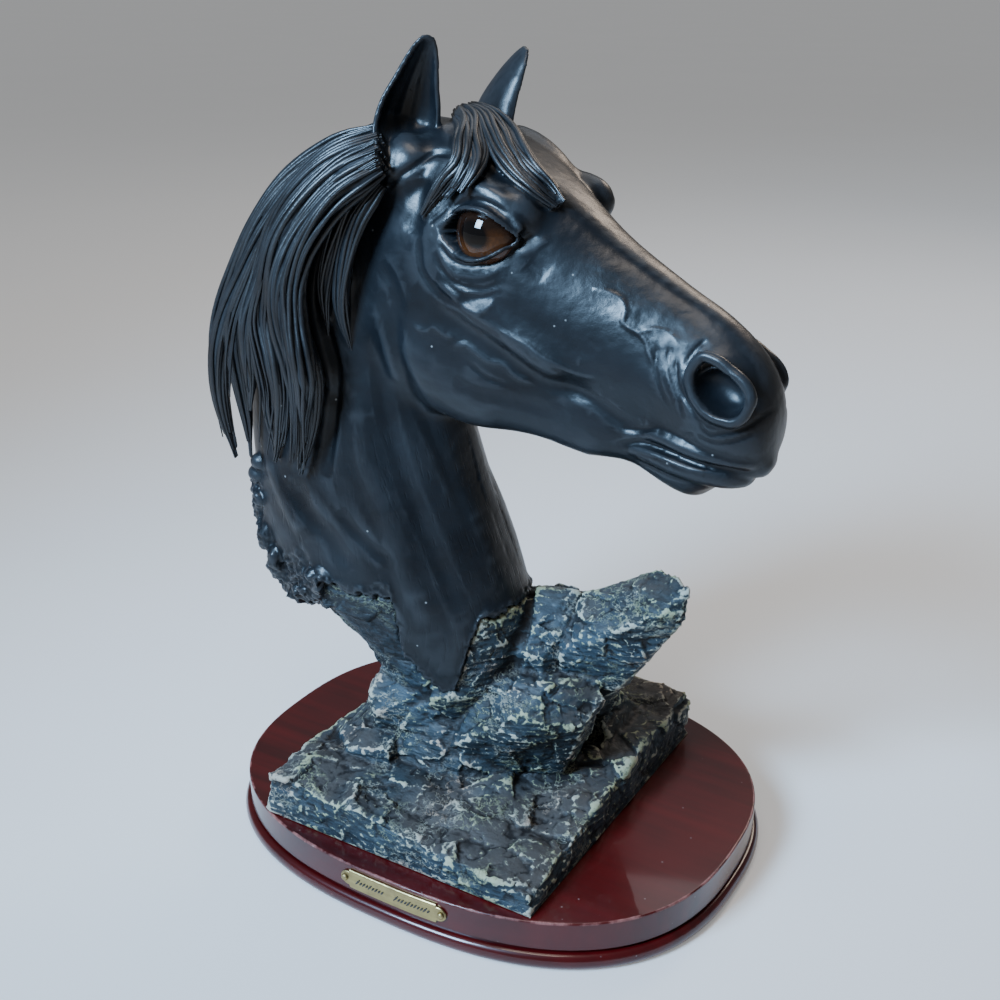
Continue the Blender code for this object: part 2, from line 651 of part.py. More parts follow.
def slab_top(x, y):
    """Height of the ground between the rocks."""
    fx = (x - SLAB_SHIFT[0]) / SLAB_LENGTH + 0.5
    fy = (y - SLAB_SHIFT[1]) / SLAB_WIDTH + 0.5
    front = CORNER_HEIGHTS[0] * (1 - fx) + CORNER_HEIGHTS[1] * fx
    back = CORNER_HEIGHTS[3] * (1 - fx) + CORNER_HEIGHTS[2] * fx
    rise = 9.0 * math.exp(-((fx - 0.45) ** 2 + (fy - 0.6) ** 2) / 0.08)
    spur = 5.0 * math.exp(-((x + 40 - 0.55 * (y + 60) * -1) / 7) ** 2) * math.exp(-(((y + 76) / 20) ** 2))
    rough = noise.fractal(Vector((x, y, 3.0)) * 0.035, 0.8, 2.0, 2) * 3.2
    return front * (1 - fy) + back * fy + rise + spur + rough


def slab():
    """The ground: a thick broken slab with uneven sides and top."""
    across, deep = 30, 34
    top, bottom = [], []
    for j in range(deep + 1):
        for i in range(across + 1):
            x = SLAB_SHIFT[0] + SLAB_LENGTH * (i / across - 0.5)
            y = SLAB_SHIFT[1] + SLAB_WIDTH * (j / deep - 0.5)
            wander = noise.noise(Vector((x * 0.07, y * 0.07, 8.0))) * 2.4
            inset = 1.6 + wander
            top_x = x - inset * (i == across) + inset * (i == 0)
            top_y = y - inset * (j == deep) + inset * (j == 0)
            top.append((top_x, top_y, slab_top(x, y)))
            bottom.append((x, y, 0.0))
    count = (across + 1) * (deep + 1)
    faces = []
    for j in range(deep):
        for i in range(across):
            a = j * (across + 1) + i
            square = (a, a + 1, a + across + 2, a + across + 1)
            faces.append(square)
            faces.append(tuple(k + count for k in reversed(square)))
    rim = list(range(across))
    rim += [j * (across + 1) + across for j in range(deep)]
    rim += [deep * (across + 1) + i for i in range(across, 0, -1)]
    rim += [j * (across + 1) for j in range(deep, 0, -1)]
    for a, b in zip(rim, rim[1:] + rim[:1]):
        faces.append((b, a, a + count, b + count))
    return np.array(top + bottom, float), faces


def rocks():
    knoll = ellipsoid(*KNOLL)
    stones = [chunk(c) for c in STONES]
    return [slab(), knoll] + stones


# Sculpting strokes: each raises or presses the skin near a line seen from one side


def stroke(points, normals, frame, view, side, marks, radius, height, sharp=1.0):
    """How far each point moves along its normal for one line of marks."""
    local = frame.local(points)
    facing = normals @ frame.axes.T
    keep, seen = {
        "side": ((0, 1), facing[:, 2] * side > 0.15),
        "top": ((0, 2), facing[:, 1] < -0.15),
        "front": ((2, 1), facing[:, 0] > 0.15),
    }[view]
    if view == "side":
        seen &= local[:, 2] * side > 0
    flat = local[:, keep]
    marks = path(marks, max(12, 4 * len(marks)))
    move = np.zeros(len(points))
    near = np.flatnonzero(seen & (flat[:, 0] > marks[:, 0].min() - radius) & (flat[:, 0] < marks[:, 0].max() + radius))
    if len(near) == 0:
        return move
    start, run = marks[:-1], np.diff(marks, axis=0)
    best = np.full(len(near), 1e9)
    where = np.zeros(len(near))
    for k in range(len(run)):
        offset = flat[near] - start[k]
        f = np.clip(offset @ run[k] / (run[k] @ run[k] + 1e-9), 0, 1)
        gap = np.linalg.norm(offset - f[:, None] * run[k], axis=1)
        closer = gap < best
        best[closer] = gap[closer]
        where[closer] = (k + f[closer]) / len(run)
    fade = np.clip(np.minimum(where, 1 - where) * 6 + 0.25, 0, 1)
    shape = np.clip(1 - (best / radius) ** 2, 0, 1) ** (2 * sharp)
    move[near] = height * shape * fade
    return move


# Lines on each side of the face: (along, down) marks, then radius and height
FACE_STROKES = (
    (((34, 60), (56, 58), (75, 56), (93, 53)), 8, 2.0),
    (((42, 70), (58, 69), (78, 66), (97, 61)), 8, -1.4),
    (((22, 42), (31, 47), (43, 45), (53, 36), (58, 25)), 3, -1.7),
    (((20, 48), (31, 54), (46, 51), (57, 40)), 3, 1.2),
    (((14, 47), (24, 58), (42, 59), (56, 47)), 3.5, -1.6),
    (((16, 40), (18, 28), (26, 15), (40, 11), (50, 14)), 4, -1.6),
    (((-2, 30), (6, 38), (10, 50)), 8, -2.5),
    (((-40, 60), (-37, 81), (-27, 104), (-15, 121), (0, 133), (18, 139)), 4.5, -3.0),
    (((-33, 62), (-29, 80), (-19, 100), (-9, 114), (4, 125), (20, 130)), 5, 1.6),
    (((108, 10), (106, 18), (118, 19), (138, 8)), 3.5, 1.4),
    (((34, 80), (45, 70), (59, 69), (81, 63)), 3, 0.9),
    (((132, 66), (139, 58.5), (146, 54.5), (154, 51), (163, 47.5), (170, 44), (177, 40.5), (182, 36)), 2.8, -3.4),
    (((130, 14), (135, 23), (142, 28), (149, 30), (155, 31)), 3.5, -1.6),
    (((158, 33), (166, 29), (172, 21)), 3.5, -1.3),
    (((100, 60), (112, 56), (126, 56), (140, 54)), 5, -1.2),
)


# The crack between the block and the big rock, seen from the side: (along, up)
CRACK = ((41, 105), (38, 98), (34, 88), (27, 76))


def hollow(points, centre, radii, axes, depth):
    """Presses a round hollow: the push, along one axis, of points inside an ellipsoid."""
    local = (points - centre) @ np.array(axes).T / np.array(radii)
    inside = np.clip(1 - (local ** 2).sum(1), 0, 1)
    return depth * inside ** 0.6


def carve_face(item):
    points, normals = arrays(item)
    for side, marks in mane_grooves():
        points += normals * stroke(points, normals, NECK, "side", side, marks, 2.4, -2.2)[:, None]
    points += normals * stroke(points, normals, NECK, "side", -1, CRACK, 3.2, -5.0)[:, None]
    for side in (-1, 1):
        for marks, radius, height in FACE_STROKES:
            points += normals * stroke(points, normals, HEAD, "side", side, marks, radius, height)[:, None]
        middle = HEAD.point(NOSTRIL_ALONG[side] + 1, NOSTRIL_DOWN + 0.5, side * (NOSTRIL_OUT[side] + 2.5))
        nostril = hollow(points, middle, (11, 8, 14), HEAD.axes, 12.0)
        points -= HEAD.axes[2] * side * nostril[:, None]
    item.data.vertices.foreach_set("co", points.astype(np.float32).ravel())
    item.data.update()


def roughen(item, horse_form):
    """Breaks up the rock and the torn edge, and leaves the horse smooth."""
    horse = BVHTree.FromPolygons([Vector(p) for p in horse_form[0]], horse_form[1])
    points, normals = arrays(item)
    away = np.array([horse.find_nearest(Vector(p))[3] for p in points])
    rock = np.clip((away - 1.2) / 2.5, 0, 1)
    local = NECK.local(points)
    ragged = np.array([noise.noise(Vector(p) * 0.16) for p in points]) * 5
    below = np.clip((SKIN_EDGE(local[:, 0]) + ragged - local[:, 1]) / 2.0, 0, 1)
    below *= (away < 6) & (np.abs(local[:, 2]) > 10)
    torn_marks = path(TORN_LINE, 20)
    gap = np.min(np.linalg.norm(local[:, None, :2] - torn_marks[None, :, :], axis=2), axis=1)
    torn = np.clip(1 - (gap - 9) / 8, 0, 1) * (local[:, 1] < 168)
    rough = np.maximum(np.maximum(rock, torn), below)
    seen = rough > 0.02
    lift = np.zeros(len(points))
    for k in np.flatnonzero(seen):
        p = Vector(points[k])
        coarse = noise.fractal(p * 0.05, 0.9, 2.1, 2)
        ridge = 0.5 - abs(noise.noise(p * 0.1))
        lift[k] = rough[k] * (1.8 * coarse + 2.4 * ridge)
    flat_foot = np.clip(points[:, 2] / 3.0, 0, 1)
    points += normals * (lift * flat_foot - 2.4 * below * (rock < 0.5))[:, None]
    item.data.vertices.foreach_set("co", points.astype(np.float32).ravel())
    item.data.update()


def casting(finish):
    """Horse and rocks as one cast piece, standing on the plinth."""
    horse = [flesh()] + eyelids() + [ear(-1), ear(1)] + nostril_rims() + lips() + mane() + forelock() + torn_edge()
    horse_form = as_form(fused("horse", horse, CLAY_VOXEL, smooth=1))
    item = fused("casting", [horse_form] + rocks(), CLAY_VOXEL, smooth=1)
    one_body(item)
    carve_face(item)
    roughen(item, horse_form)
    grow = CASTING_HEIGHT / DRAWN_HEIGHT
    item.data.transform(Matrix.Translation((0, 0, PLINTH_HEIGHT + SEAT_GAP)) @ Matrix.Scale(grow, 4))
    # The underside is flat where it sits on the plinth
    points, _ = arrays(item)
    points[:, 2] = np.maximum(points[:, 2], PLINTH_HEIGHT + SEAT_GAP)
    item.data.vertices.foreach_set("co", points.astype(np.float32).ravel())
    step = item.modifiers.new("Fewer faces", "DECIMATE")
    step.ratio = CASTING_FACES / (2 * len(item.data.polygons))
    step.use_collapse_triangulate = True
    applied(item)
    for side in (-1, 1):
        middle = on_casting(eye_middle(side))
        cut(item, ball("socket", middle, EYE_DIAMETER / 2 + EYE_GAP))
    item.data.materials.clear()
    item.data.materials.append(finish)
    finish_in_metres(item, 50)
    return item


def on_casting(point):
    """A point of the drawn casting where it stands on the plinth."""
    grow = CASTING_HEIGHT / DRAWN_HEIGHT
    return np.array(point) * grow + np.array([0, 0, PLINTH_HEIGHT + SEAT_GAP])


def ball(name, centre, radius, finish=None):
    shape = bmesh.new()
    bmesh.ops.create_uvsphere(shape, u_segments=16, v_segments=10, radius=radius)
    points = np.array([v.co for v in shape.verts]) @ HEAD.axes
    faces = [tuple(v.index for v in f.verts) for f in shape.faces]
    shape.free()
    return mesh_object(name, points + np.array(centre), faces, finish)


def eye(name, side, finish):
    item = ball(name, on_casting(eye_middle(side)), EYE_DIAMETER / 2, finish)
    finish_in_metres(item)


# Plinth


def plinth_outline(grow, count=PLINTH_SIDES):
    """The plinth's rounded outline, standing out by grow."""
    turn = np.linspace(0, 2 * math.pi, count, endpoint=False)
    c, s = np.cos(turn), np.sin(turn)
    power = 2 / PLINTH_SQUARENESS
    x = (PLINTH_LENGTH / 2 + grow) * np.sign(c) * np.abs(c) ** power
    y = (PLINTH_WIDTH / 2 + grow) * np.sign(s) * np.abs(s) ** power
    return x, y


def plinth_profile():
    """(stand-out, height) up the side: bead, groove, band and rounded top edge."""
    bead = [(BEAD_OUT * math.sin(a), BEAD_HEIGHT / 2 - BEAD_HEIGHT / 2 * math.cos(a))
            for a in np.linspace(0, math.pi, 6)]
    lip = BEAD_HEIGHT + GROOVE_WIDTH
    groove = [(-GROOVE_DEPTH, BEAD_HEIGHT), (-GROOVE_DEPTH, lip - 0.4), (0.0, lip)]
    edge = [(-TOP_EDGE_ROUND * (1 - math.cos(a)), PLINTH_HEIGHT - TOP_EDGE_ROUND * (1 - math.sin(a)))
            for a in np.linspace(0, math.pi / 2, 3)]
    return bead + groove + edge


def plinth(finish):
    rings = []
    for out, z in plinth_profile():
        x, y = plinth_outline(out)
        rings.append(np.stack([x, y, np.full(len(x), z)], 1))
    points, faces = loft(rings)
    item = mesh_object("plinth", points, faces, finish)
    for side in (-1, 1):
        x, z = pin_place(side)
        cut(item, pin_hole("pin hole", x, z))
    finish_in_metres(item, 30)


def front_face(x, out):
    """The y of the plinth's front at x, standing out by out."""
    power = PLINTH_SQUARENESS
    return -(PLINTH_WIDTH / 2) * (1 - (abs(x) / (PLINTH_LENGTH / 2)) ** power) ** (1 / power) - out


def plate_height():
    """The middle of the band, where the plate sits."""
    return (BEAD_HEIGHT + GROOVE_WIDTH + PLINTH_HEIGHT) / 2


def pin_place(side):
    return PLATE_SHIFT + side * (PLATE_LENGTH / 2 - PLATE_TAB * 0.62), plate_height()


def pin_hole(name, x, z):
    """A round cutter for a pin's hole, through the plate and into the band."""
    shape = bmesh.new()
    radius = PIN_SHANK_DIAMETER / 2 + PIN_GAP
    depth = PIN_SHANK_LENGTH + PLATE_THICKNESS + 2 * PIN_GAP
    bmesh.ops.create_cone(shape, cap_ends=True, segments=10, radius1=radius, radius2=radius, depth=2 * depth)
    turn = Matrix.Rotation(math.pi / 2, 4, "X")
    bmesh.ops.transform(shape, matrix=Matrix.Translation((x, front_face(x, 0), z)) @ turn, verts=shape.verts)
    points = np.array([v.co for v in shape.verts])
    faces = [tuple(v.index for v in f.verts) for f in shape.faces]
    shape.free()
    return mesh_object(name, points, faces)


def plate_outline():
    """Half outline of the plate from its middle to a round tab: (x, half height)."""
    full, notch = PLATE_HEIGHT / 2, PLATE_HEIGHT / 2 - 1.3
    body = PLATE_LENGTH / 2 - PLATE_TAB
    points = [(x, full) for x in np.linspace(0, body - 1.2, 5)]
    points += [(body - 1.0, notch + 0.5), (body, notch)]
    for a in np.linspace(0, math.pi / 2, 6)[1:-1]:
        points.append((body + PLATE_TAB * math.sin(a), notch * math.cos(a)))
    return points + [(PLATE_LENGTH / 2, 0.35)]


def nameplate(finish):
    """A thin brass plate with notched corners and round ends, bent to the band's curve."""
    half = plate_outline()
    columns = [(-x, h) for x, h in reversed(half[1:])] + half
    back, front = SEAT_GAP, SEAT_GAP + PLATE_THICKNESS
    rings = []
    for x, h in columns:
        at, z = x + PLATE_SHIFT, plate_height()
        rings.append([(at, front_face(at, back), z - h), (at, front_face(at, front), z - h),
                      (at, front_face(at, front), z + h), (at, front_face(at, back), z + h)])
    points, faces = loft(rings)
    item = mesh_object("nameplate", points, faces, finish)
    for side in (-1, 1):
        x, z = pin_place(side)
        cut(item, pin_hole("pin hole", x, z))
    finish_in_metres(item, 30)


def pin(name, side, finish):
    """A round-headed brass pin through the plate into the band."""
    x, z = pin_place(side)
    head, shank = PIN_HEAD_DIAMETER / 2, PIN_SHANK_DIAMETER / 2
    seat = SEAT_GAP + PLATE_THICKNESS + PIN_GAP
    dome = [(head * math.cos(a), seat + 0.25 + head * 0.62 * math.sin(a)) for a in np.linspace(0, 1.3, 5)]
    profile = [(shank, seat - PIN_SHANK_LENGTH), (shank, seat), (head, seat)] + dome
    turn = np.linspace(0, 2 * math.pi, 10, endpoint=False)
    rings = []
    for radius, out in profile:
        y = front_face(x, out)
        rings.append([(x + radius * math.cos(a), y, z + radius * math.sin(a)) for a in turn])
    points, faces = loft(rings)
    item = mesh_object(name, points, faces, finish)
    finish_in_metres(item)


def build():
    clear_scene()
    resin = material("painted resin", (0.03, 0.035, 0.05), 0.35)
    lacquer = material("mahogany lacquer", (0.10, 0.012, 0.014), 0.12)
    glass = material("brown glass", (0.03, 0.012, 0.008), 0.05)
    brass = material("brass", (0.62, 0.52, 0.30), 0.35, 1.0)
    plinth(lacquer)
    casting(resin)
    eye("eye_right", -1, glass)
    eye("eye_left", 1, glass)
    nameplate(brass)
    pin("pin_left", -1, brass)
    pin("pin_right", 1, brass)


build()
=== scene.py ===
import math

import bmesh
import bpy
import numpy as np
from mathutils import Matrix, Vector, kdtree, noise


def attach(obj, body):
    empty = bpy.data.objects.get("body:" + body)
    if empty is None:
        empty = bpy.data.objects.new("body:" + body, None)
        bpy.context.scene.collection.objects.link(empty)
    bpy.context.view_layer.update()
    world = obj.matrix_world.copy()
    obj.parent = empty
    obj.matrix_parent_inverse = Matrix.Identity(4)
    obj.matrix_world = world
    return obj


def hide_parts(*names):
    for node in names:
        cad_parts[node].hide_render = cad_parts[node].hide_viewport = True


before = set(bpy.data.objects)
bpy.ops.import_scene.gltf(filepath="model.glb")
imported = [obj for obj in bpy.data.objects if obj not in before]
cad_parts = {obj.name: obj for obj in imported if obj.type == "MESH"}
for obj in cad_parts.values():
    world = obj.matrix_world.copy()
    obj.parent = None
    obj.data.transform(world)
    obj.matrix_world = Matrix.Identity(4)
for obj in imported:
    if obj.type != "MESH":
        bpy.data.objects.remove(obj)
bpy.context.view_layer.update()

# Plinth
# The base is a thick hardwood board with rounded corners and a bead round its foot. It is stained
# mahogany red and lacquered to a high gloss, and its top edge is rubbed through to a pink primer.

PLINTH_LENGTH = 261.0
PLINTH_WIDTH = 206.0
PLINTH_HEIGHT = 24.2
PLINTH_SQUARENESS = 2.52
BEAD_HEIGHT = 8.0
BEAD_OUT = 3.0
GROOVE_WIDTH = 1.6
GROOVE_DEPTH = 1.2
TOP_EDGE_ROUND = 0.8
MM = 0.001


def put(tree, socket, value):
    """Sets a socket to a number or colour, or links it to another node's output."""
    if isinstance(value, bpy.types.NodeSocket):
        tree.links.new(value, socket)
    elif isinstance(value, tuple) and len(value) == 3 and socket.type == "RGBA":
        socket.default_value = (*value, 1.0)
    else:
        socket.default_value = value


def node(tree, kind, inputs=None, **settings):
    made = tree.nodes.new(kind)
    for key, value in settings.items():
        setattr(made, key, value)
    for key, value in (inputs or {}).items():
        put(tree, made.inputs[key], value)
    return made


def maths(tree, operation, *values):
    made = tree.nodes.new("ShaderNodeMath")
    made.operation = operation
    for socket, value in zip(made.inputs, values):
        put(tree, socket, value)
    return made.outputs[0]


def times(tree, value, factor):
    return maths(tree, "MULTIPLY", value, factor)


def ramp(tree, value, low, high, start=0.0, end=1.0):
    """A value that runs from start to end as the input runs from low to high."""
    made = tree.nodes.new("ShaderNodeMapRange")
    for socket, given in zip(made.inputs, (value, low, high, start, end)):
        put(tree, socket, given)
    return made.outputs[0]


def blend(tree, amount, low, high):
    """The low colour at an amount of 0, the high one at 1."""
    made = tree.nodes.new("ShaderNodeMix")
    made.data_type = "RGBA"
    for socket, given in zip((made.inputs[0], made.inputs[6], made.inputs[7]), (amount, low, high)):
        put(tree, socket, given)
    return made.outputs[2]


def mottle(tree, place, scale, detail=3.0, rough=0.55):
    """Soft uneven patches, about one to the scale."""
    inputs = {"Vector": place, "Scale": scale, "Detail": detail, "Roughness": rough}
    return node(tree, "ShaderNodeTexNoise", inputs).outputs[0]


def on_object(tree, stretch=(1, 1, 1), turn=(0, 0, 0)):
    """Coordinates of the piece itself, stretched or turned for a pattern with a direction."""
    place = node(tree, "ShaderNodeTexCoord").outputs["Object"]
    return node(tree, "ShaderNodeMapping", {"Vector": place, "Scale": stretch, "Rotation": turn}).outputs[0]


def material(name, colour, roughness, metallic=0.0):
    made = bpy.data.materials.new(name)
    made.use_nodes = True
    shader = made.node_tree.nodes["Principled BSDF"]
    put(made.node_tree, shader.inputs["Base Color"], colour)
    shader.inputs["Roughness"].default_value = roughness
    shader.inputs["Metallic"].default_value = metallic
    return made, made.node_tree, shader


def bumped(tree, shader, height, depth, strength=1.0):
    """A bump of the given depth in metres, on the shader's normal."""
    made = node(tree, "ShaderNodeBump", {"Height": height, "Distance": depth, "Strength": strength})
    tree.links.new(made.outputs[0], shader.inputs["Normal"])


def specks_group():
    """Dust: tiny separate dots scattered over a surface."""
    tree = bpy.data.node_groups.new("dust specks", "ShaderNodeTree")
    tree.interface.new_socket("Spacing", in_out="INPUT", socket_type="NodeSocketFloat")
    tree.interface.new_socket("Share", in_out="INPUT", socket_type="NodeSocketFloat")
    tree.interface.new_socket("Mask", in_out="OUTPUT", socket_type="NodeSocketFloat")
    given = tree.nodes.new("NodeGroupInput")
    result = tree.nodes.new("NodeGroupOutput")
    place = node(tree, "ShaderNodeTexCoord").outputs["Object"]
    scale = maths(tree, "DIVIDE", 1.0, given.outputs["Spacing"])
    cells = node(tree, "ShaderNodeTexVoronoi", {"Vector": place, "Scale": scale})
    dot = ramp(tree, cells.outputs["Distance"], 0.06, 0.13, 1.0, 0.0)
    chance = node(tree, "ShaderNodeSeparateColor", {"Color": cells.outputs["Color"]}).outputs[0]
    chosen = maths(tree, "LESS_THAN", chance, given.outputs["Share"])
    put(tree, result.inputs["Mask"], times(tree, dot, chosen))
    return tree


SPECKS = specks_group()


def specks(tree, spacing, share):
    made = tree.nodes.new("ShaderNodeGroup")
    made.node_tree = SPECKS
    made.inputs["Spacing"].default_value = spacing
    made.inputs["Share"].default_value = share
    return made.outputs["Mask"]


def smooth_line(*points):
    """A smooth line through (place, value) points, as a function of place."""
    places, values = np.array(points, float).T
    slopes = np.gradient(values, places)

    def at(place):
        place = np.clip(place, places[0], places[-1])
        low = np.clip(np.searchsorted(places, place) - 1, 0, len(places) - 2)
        span = places[low + 1] - places[low]
        f = (place - places[low]) / span
        start = (1 + 2 * f) * (1 - f) ** 2 * values[low] + f * (1 - f) ** 2 * span * slopes[low]
        return start + f * f * (3 - 2 * f) * values[low + 1] + f * f * (f - 1) * span * slopes[low + 1]

    return at


def loft(rings):
    """A closed body through rings of points, one after another."""
    rings = np.array(rings)
    count, around = rings.shape[:2]
    faces = [tuple(range(around)), tuple((count - 1) * around + k for k in reversed(range(around)))]
    for r in range(count - 1):
        for k in range(around):
            m = (k + 1) % around
            faces.append((r * around + k, r * around + m, (r + 1) * around + m, (r + 1) * around + k))
    return rings.reshape(-1, 3), faces


def piece(name, points, faces, finish=None, sharp=40.0, scale=MM):
    """A piece from points and faces, with its faces turned outwards."""
    mesh = bpy.data.meshes.new(name)
    mesh.from_pydata((np.asarray(points, float) * scale).tolist(), [], [tuple(f) for f in faces])
    shape = bmesh.new()
    shape.from_mesh(mesh)
    bmesh.ops.recalc_face_normals(shape, faces=shape.faces)
    shape.to_mesh(mesh)
    shape.free()
    if finish:
        mesh.materials.append(finish)
    mesh.shade_smooth()
    mesh.set_sharp_from_angle(angle=math.radians(sharp))
    made = bpy.data.objects.new(name, mesh)
    bpy.context.collection.objects.link(made)
    return made


def store(item, name, values):
    """Keeps one number for each point of a piece, for its paint to read."""
    item.data.attributes.new(name, "FLOAT", "POINT").data.foreach_set("value", np.asarray(values, np.float32))


def kept(tree, name):
    """Reads such a number in a material."""
    return node(tree, "ShaderNodeAttribute", attribute_name=name).outputs["Fac"]


def plinth_outline(grow, count=260):
    turn = np.linspace(0, 2 * math.pi, count, endpoint=False)
    c, s = np.cos(turn), np.sin(turn)
    power = 2 / PLINTH_SQUARENESS
    x = (PLINTH_LENGTH / 2 + grow) * np.sign(c) * np.abs(c) ** power
    y = (PLINTH_WIDTH / 2 + grow) * np.sign(s) * np.abs(s) ** power
    return x, y


def plinth_profile():
    """(stand-out, height, how much it is rubbed) from the foot up and in over the top."""
    turn = np.linspace(0, math.pi, 15)
    half = BEAD_HEIGHT / 2
    rows = [(BEAD_OUT * math.sin(a), half - half * math.cos(a), 0.45 * math.sin(a) ** 8) for a in turn]
    lip = BEAD_HEIGHT + GROOVE_WIDTH
    rows += [(-GROOVE_DEPTH, BEAD_HEIGHT, 0), (-GROOVE_DEPTH, lip - 0.4, 0)]
    rows += [(-0.3, lip - 0.05, 0.2), (0, lip + 0.2, 0.3)]
    rows += [(0, z, 0) for z in (11.5, 14.5, 18, 21)] + [(0, PLINTH_HEIGHT - 1.6, 0.3)]
    for a in np.linspace(0, math.pi / 2, 6):
        rows.append((-TOP_EDGE_ROUND * (1 - math.cos(a)), PLINTH_HEIGHT - TOP_EDGE_ROUND * (1 - math.sin(a)), 1))
    rows += [(-1.3, PLINTH_HEIGHT, 0.5), (-2.2, PLINTH_HEIGHT, 0.12), (-5, PLINTH_HEIGHT, 0.0)]
    return rows + [(-out, PLINTH_HEIGHT, 0) for out in (9, 16, 28, 50, 75)]


lacquer, tree, shader = material("mahogany lacquer", (0.06, 0.006, 0.008), 0.32)
grain = mottle(tree, on_object(tree, (7, 130, 60)), 1.0, 5.0)
broad = mottle(tree, on_object(tree), 14.0)
wood = blend(tree, ramp(tree, grain, 0.35, 0.68), (0.026, 0.0008, 0.0013), (0.060, 0.0016, 0.0024))
wood = blend(tree, ramp(tree, broad, 0.4, 0.7, 0.0, 0.55), wood, (0.078, 0.0024, 0.0034))
rubbed = times(tree, mottle(tree, on_object(tree), 95.0, 6.0, 0.7), 1.5)
rubbed = maths(tree, "ADD", kept(tree, "rim"), rubbed)
rubbed = ramp(tree, rubbed, 1.66, 1.92)
chips = times(tree, ramp(tree, kept(tree, "rim"), 0.25, 0.8), specks(tree, 0.006, 0.35))
worn = maths(tree, "MAXIMUM", rubbed, chips)
dust = specks(tree, 0.0042, 0.10)
wood = blend(tree, times(tree, worn, 0.65), wood, (0.36, 0.15, 0.13))
wood = blend(tree, times(tree, dust, 0.22), wood, (0.5, 0.42, 0.4))
put(tree, shader.inputs["Base Color"], wood)
put(tree, shader.inputs["Roughness"], ramp(tree, worn, 0.0, 1.0, 0.3, 0.6))
put(tree, shader.inputs["Coat Weight"], ramp(tree, worn, 0.0, 1.0, 0.65, 0.15))
shader.inputs["Coat Roughness"].default_value = 0.045
shader.inputs["Coat IOR"].default_value = 1.40
shader.inputs["IOR"].default_value = 1.36
bumped(tree, shader, mottle(tree, on_object(tree), 70.0, 2.0), 0.0002, 0.35)

rings, rims = [], []
for out, z, rub in plinth_profile():
    x, y = plinth_outline(out)
    rings.append(np.stack([x, y, np.full(len(x), z)], 1))
    rims += [rub] * len(x)
plinth = piece("plinth_board", *loft(rings), lacquer, 35)
store(plinth, "rim", rims)
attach(plinth, "root")
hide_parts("plinth")

# Nameplate
# A thin strip of rolled brass with stepped corners and round ends, bent to the curve of the board.
# Its face carries two rows of slanted enamel strokes, and a pin at each end holds it.

PLATE_LENGTH = 58.0
PLATE_HEIGHT = 10.0
PLATE_THICKNESS = 0.8
PLATE_TAB = 4.0
PLATE_SHIFT = 6.0
SEAT_GAP = 0.3
PLATE_MIDDLE = (BEAD_HEIGHT + GROOVE_WIDTH + PLINTH_HEIGHT) / 2


def front_face(x, out):
    """The y of the board's front at x, standing out by out."""
    power = PLINTH_SQUARENESS
    return -(PLINTH_WIDTH / 2) * (1 - (abs(x) / (PLINTH_LENGTH / 2)) ** power) ** (1 / power) - out


def plate_half_height(x):
    full, notch = PLATE_HEIGHT / 2, PLATE_HEIGHT / 2 - 1.3
    body = PLATE_LENGTH / 2 - PLATE_TAB
    if abs(x) <= body - 1.2:
        return full
    if abs(x) <= body:
        return full - (full - notch) * min(1.0, (abs(x) - body + 1.2) / 0.35)
    return max(0.3, notch * math.sqrt(max(0.0, 1 - ((abs(x) - body) / PLATE_TAB) ** 2)))


def rods_tree():
    """Geometry nodes that sweep a round section along lines, as thick as each point says."""
    tree = bpy.data.node_groups.new("rods along lines", "GeometryNodeTree")
    for name, kind in (("Lines", "Geometry"), ("Sides", "Int"), ("Fullness", "Float"), ("Finish", "Material")):
        tree.interface.new_socket(name, in_out="INPUT", socket_type="NodeSocket" + kind)
    tree.interface.new_socket("Rods", in_out="OUTPUT", socket_type="NodeSocketGeometry")
    given = tree.nodes.new("NodeGroupInput")
    result = tree.nodes.new("NodeGroupOutput")
    lines = node(tree, "GeometryNodeMeshToCurve", {"Mesh": given.outputs["Lines"]})
    section = node(tree, "GeometryNodeCurvePrimitiveCircle", {"Resolution": given.outputs["Sides"]})
    put(tree, section.inputs["Radius"], given.outputs["Fullness"])
    thick = node(tree, "GeometryNodeInputNamedAttribute", {"Name": "thickness"}, data_type="FLOAT")
    swept = node(tree, "GeometryNodeCurveToMesh", {"Curve": lines.outputs[0], "Profile Curve": section.outputs[0]})
    put(tree, swept.inputs["Scale"], thick.outputs["Attribute"])
    swept.inputs["Fill Caps"].default_value = True
    shaded = node(tree, "GeometryNodeSetShadeSmooth", {"Geometry": swept.outputs[0]})
    real = node(tree, "GeometryNodeRealizeInstances", {"Geometry": shaded.outputs[0]})
    painted = node(tree, "GeometryNodeSetMaterial", {"Geometry": real.outputs[0]})
    put(tree, painted.inputs["Material"], given.outputs["Finish"])
    put(tree, result.inputs["Rods"], painted.outputs[0])
    return tree


RODS = rods_tree()


def rods(name, lines, sides, fullness, finish):
    """One piece of many tapering rods; each line is its points and thicknesses in metres and a tone."""
    points = np.concatenate([line[0] for line in lines])
    edges, at = [], 0
    for line_points, _, _ in lines:
        edges += [(at + k, at + k + 1) for k in range(len(line_points) - 1)]
        at += len(line_points)
    mesh = bpy.data.meshes.new(name)
    mesh.from_pydata(points.tolist(), edges, [])
    item = bpy.data.objects.new(name, mesh)
    bpy.context.collection.objects.link(item)
    store(item, "thickness", np.concatenate([line[1] for line in lines]))
    store(item, "tone", np.concatenate([np.full(len(line[0]), line[2]) for line in lines]))
    step = item.modifiers.new("Rods", "NODES")
    step.node_group = RODS
    values = {"Sides": sides, "Fullness": fullness, "Finish": finish}
    for socket in RODS.interface.items_tree:
        if socket.in_out == "INPUT" and socket.name in values:
            step[socket.identifier] = values[socket.name]
    made = bpy.data.meshes.new_from_object(item.evaluated_get(bpy.context.evaluated_depsgraph_get()))
    item.modifiers.clear()
    item.data = made
    return item


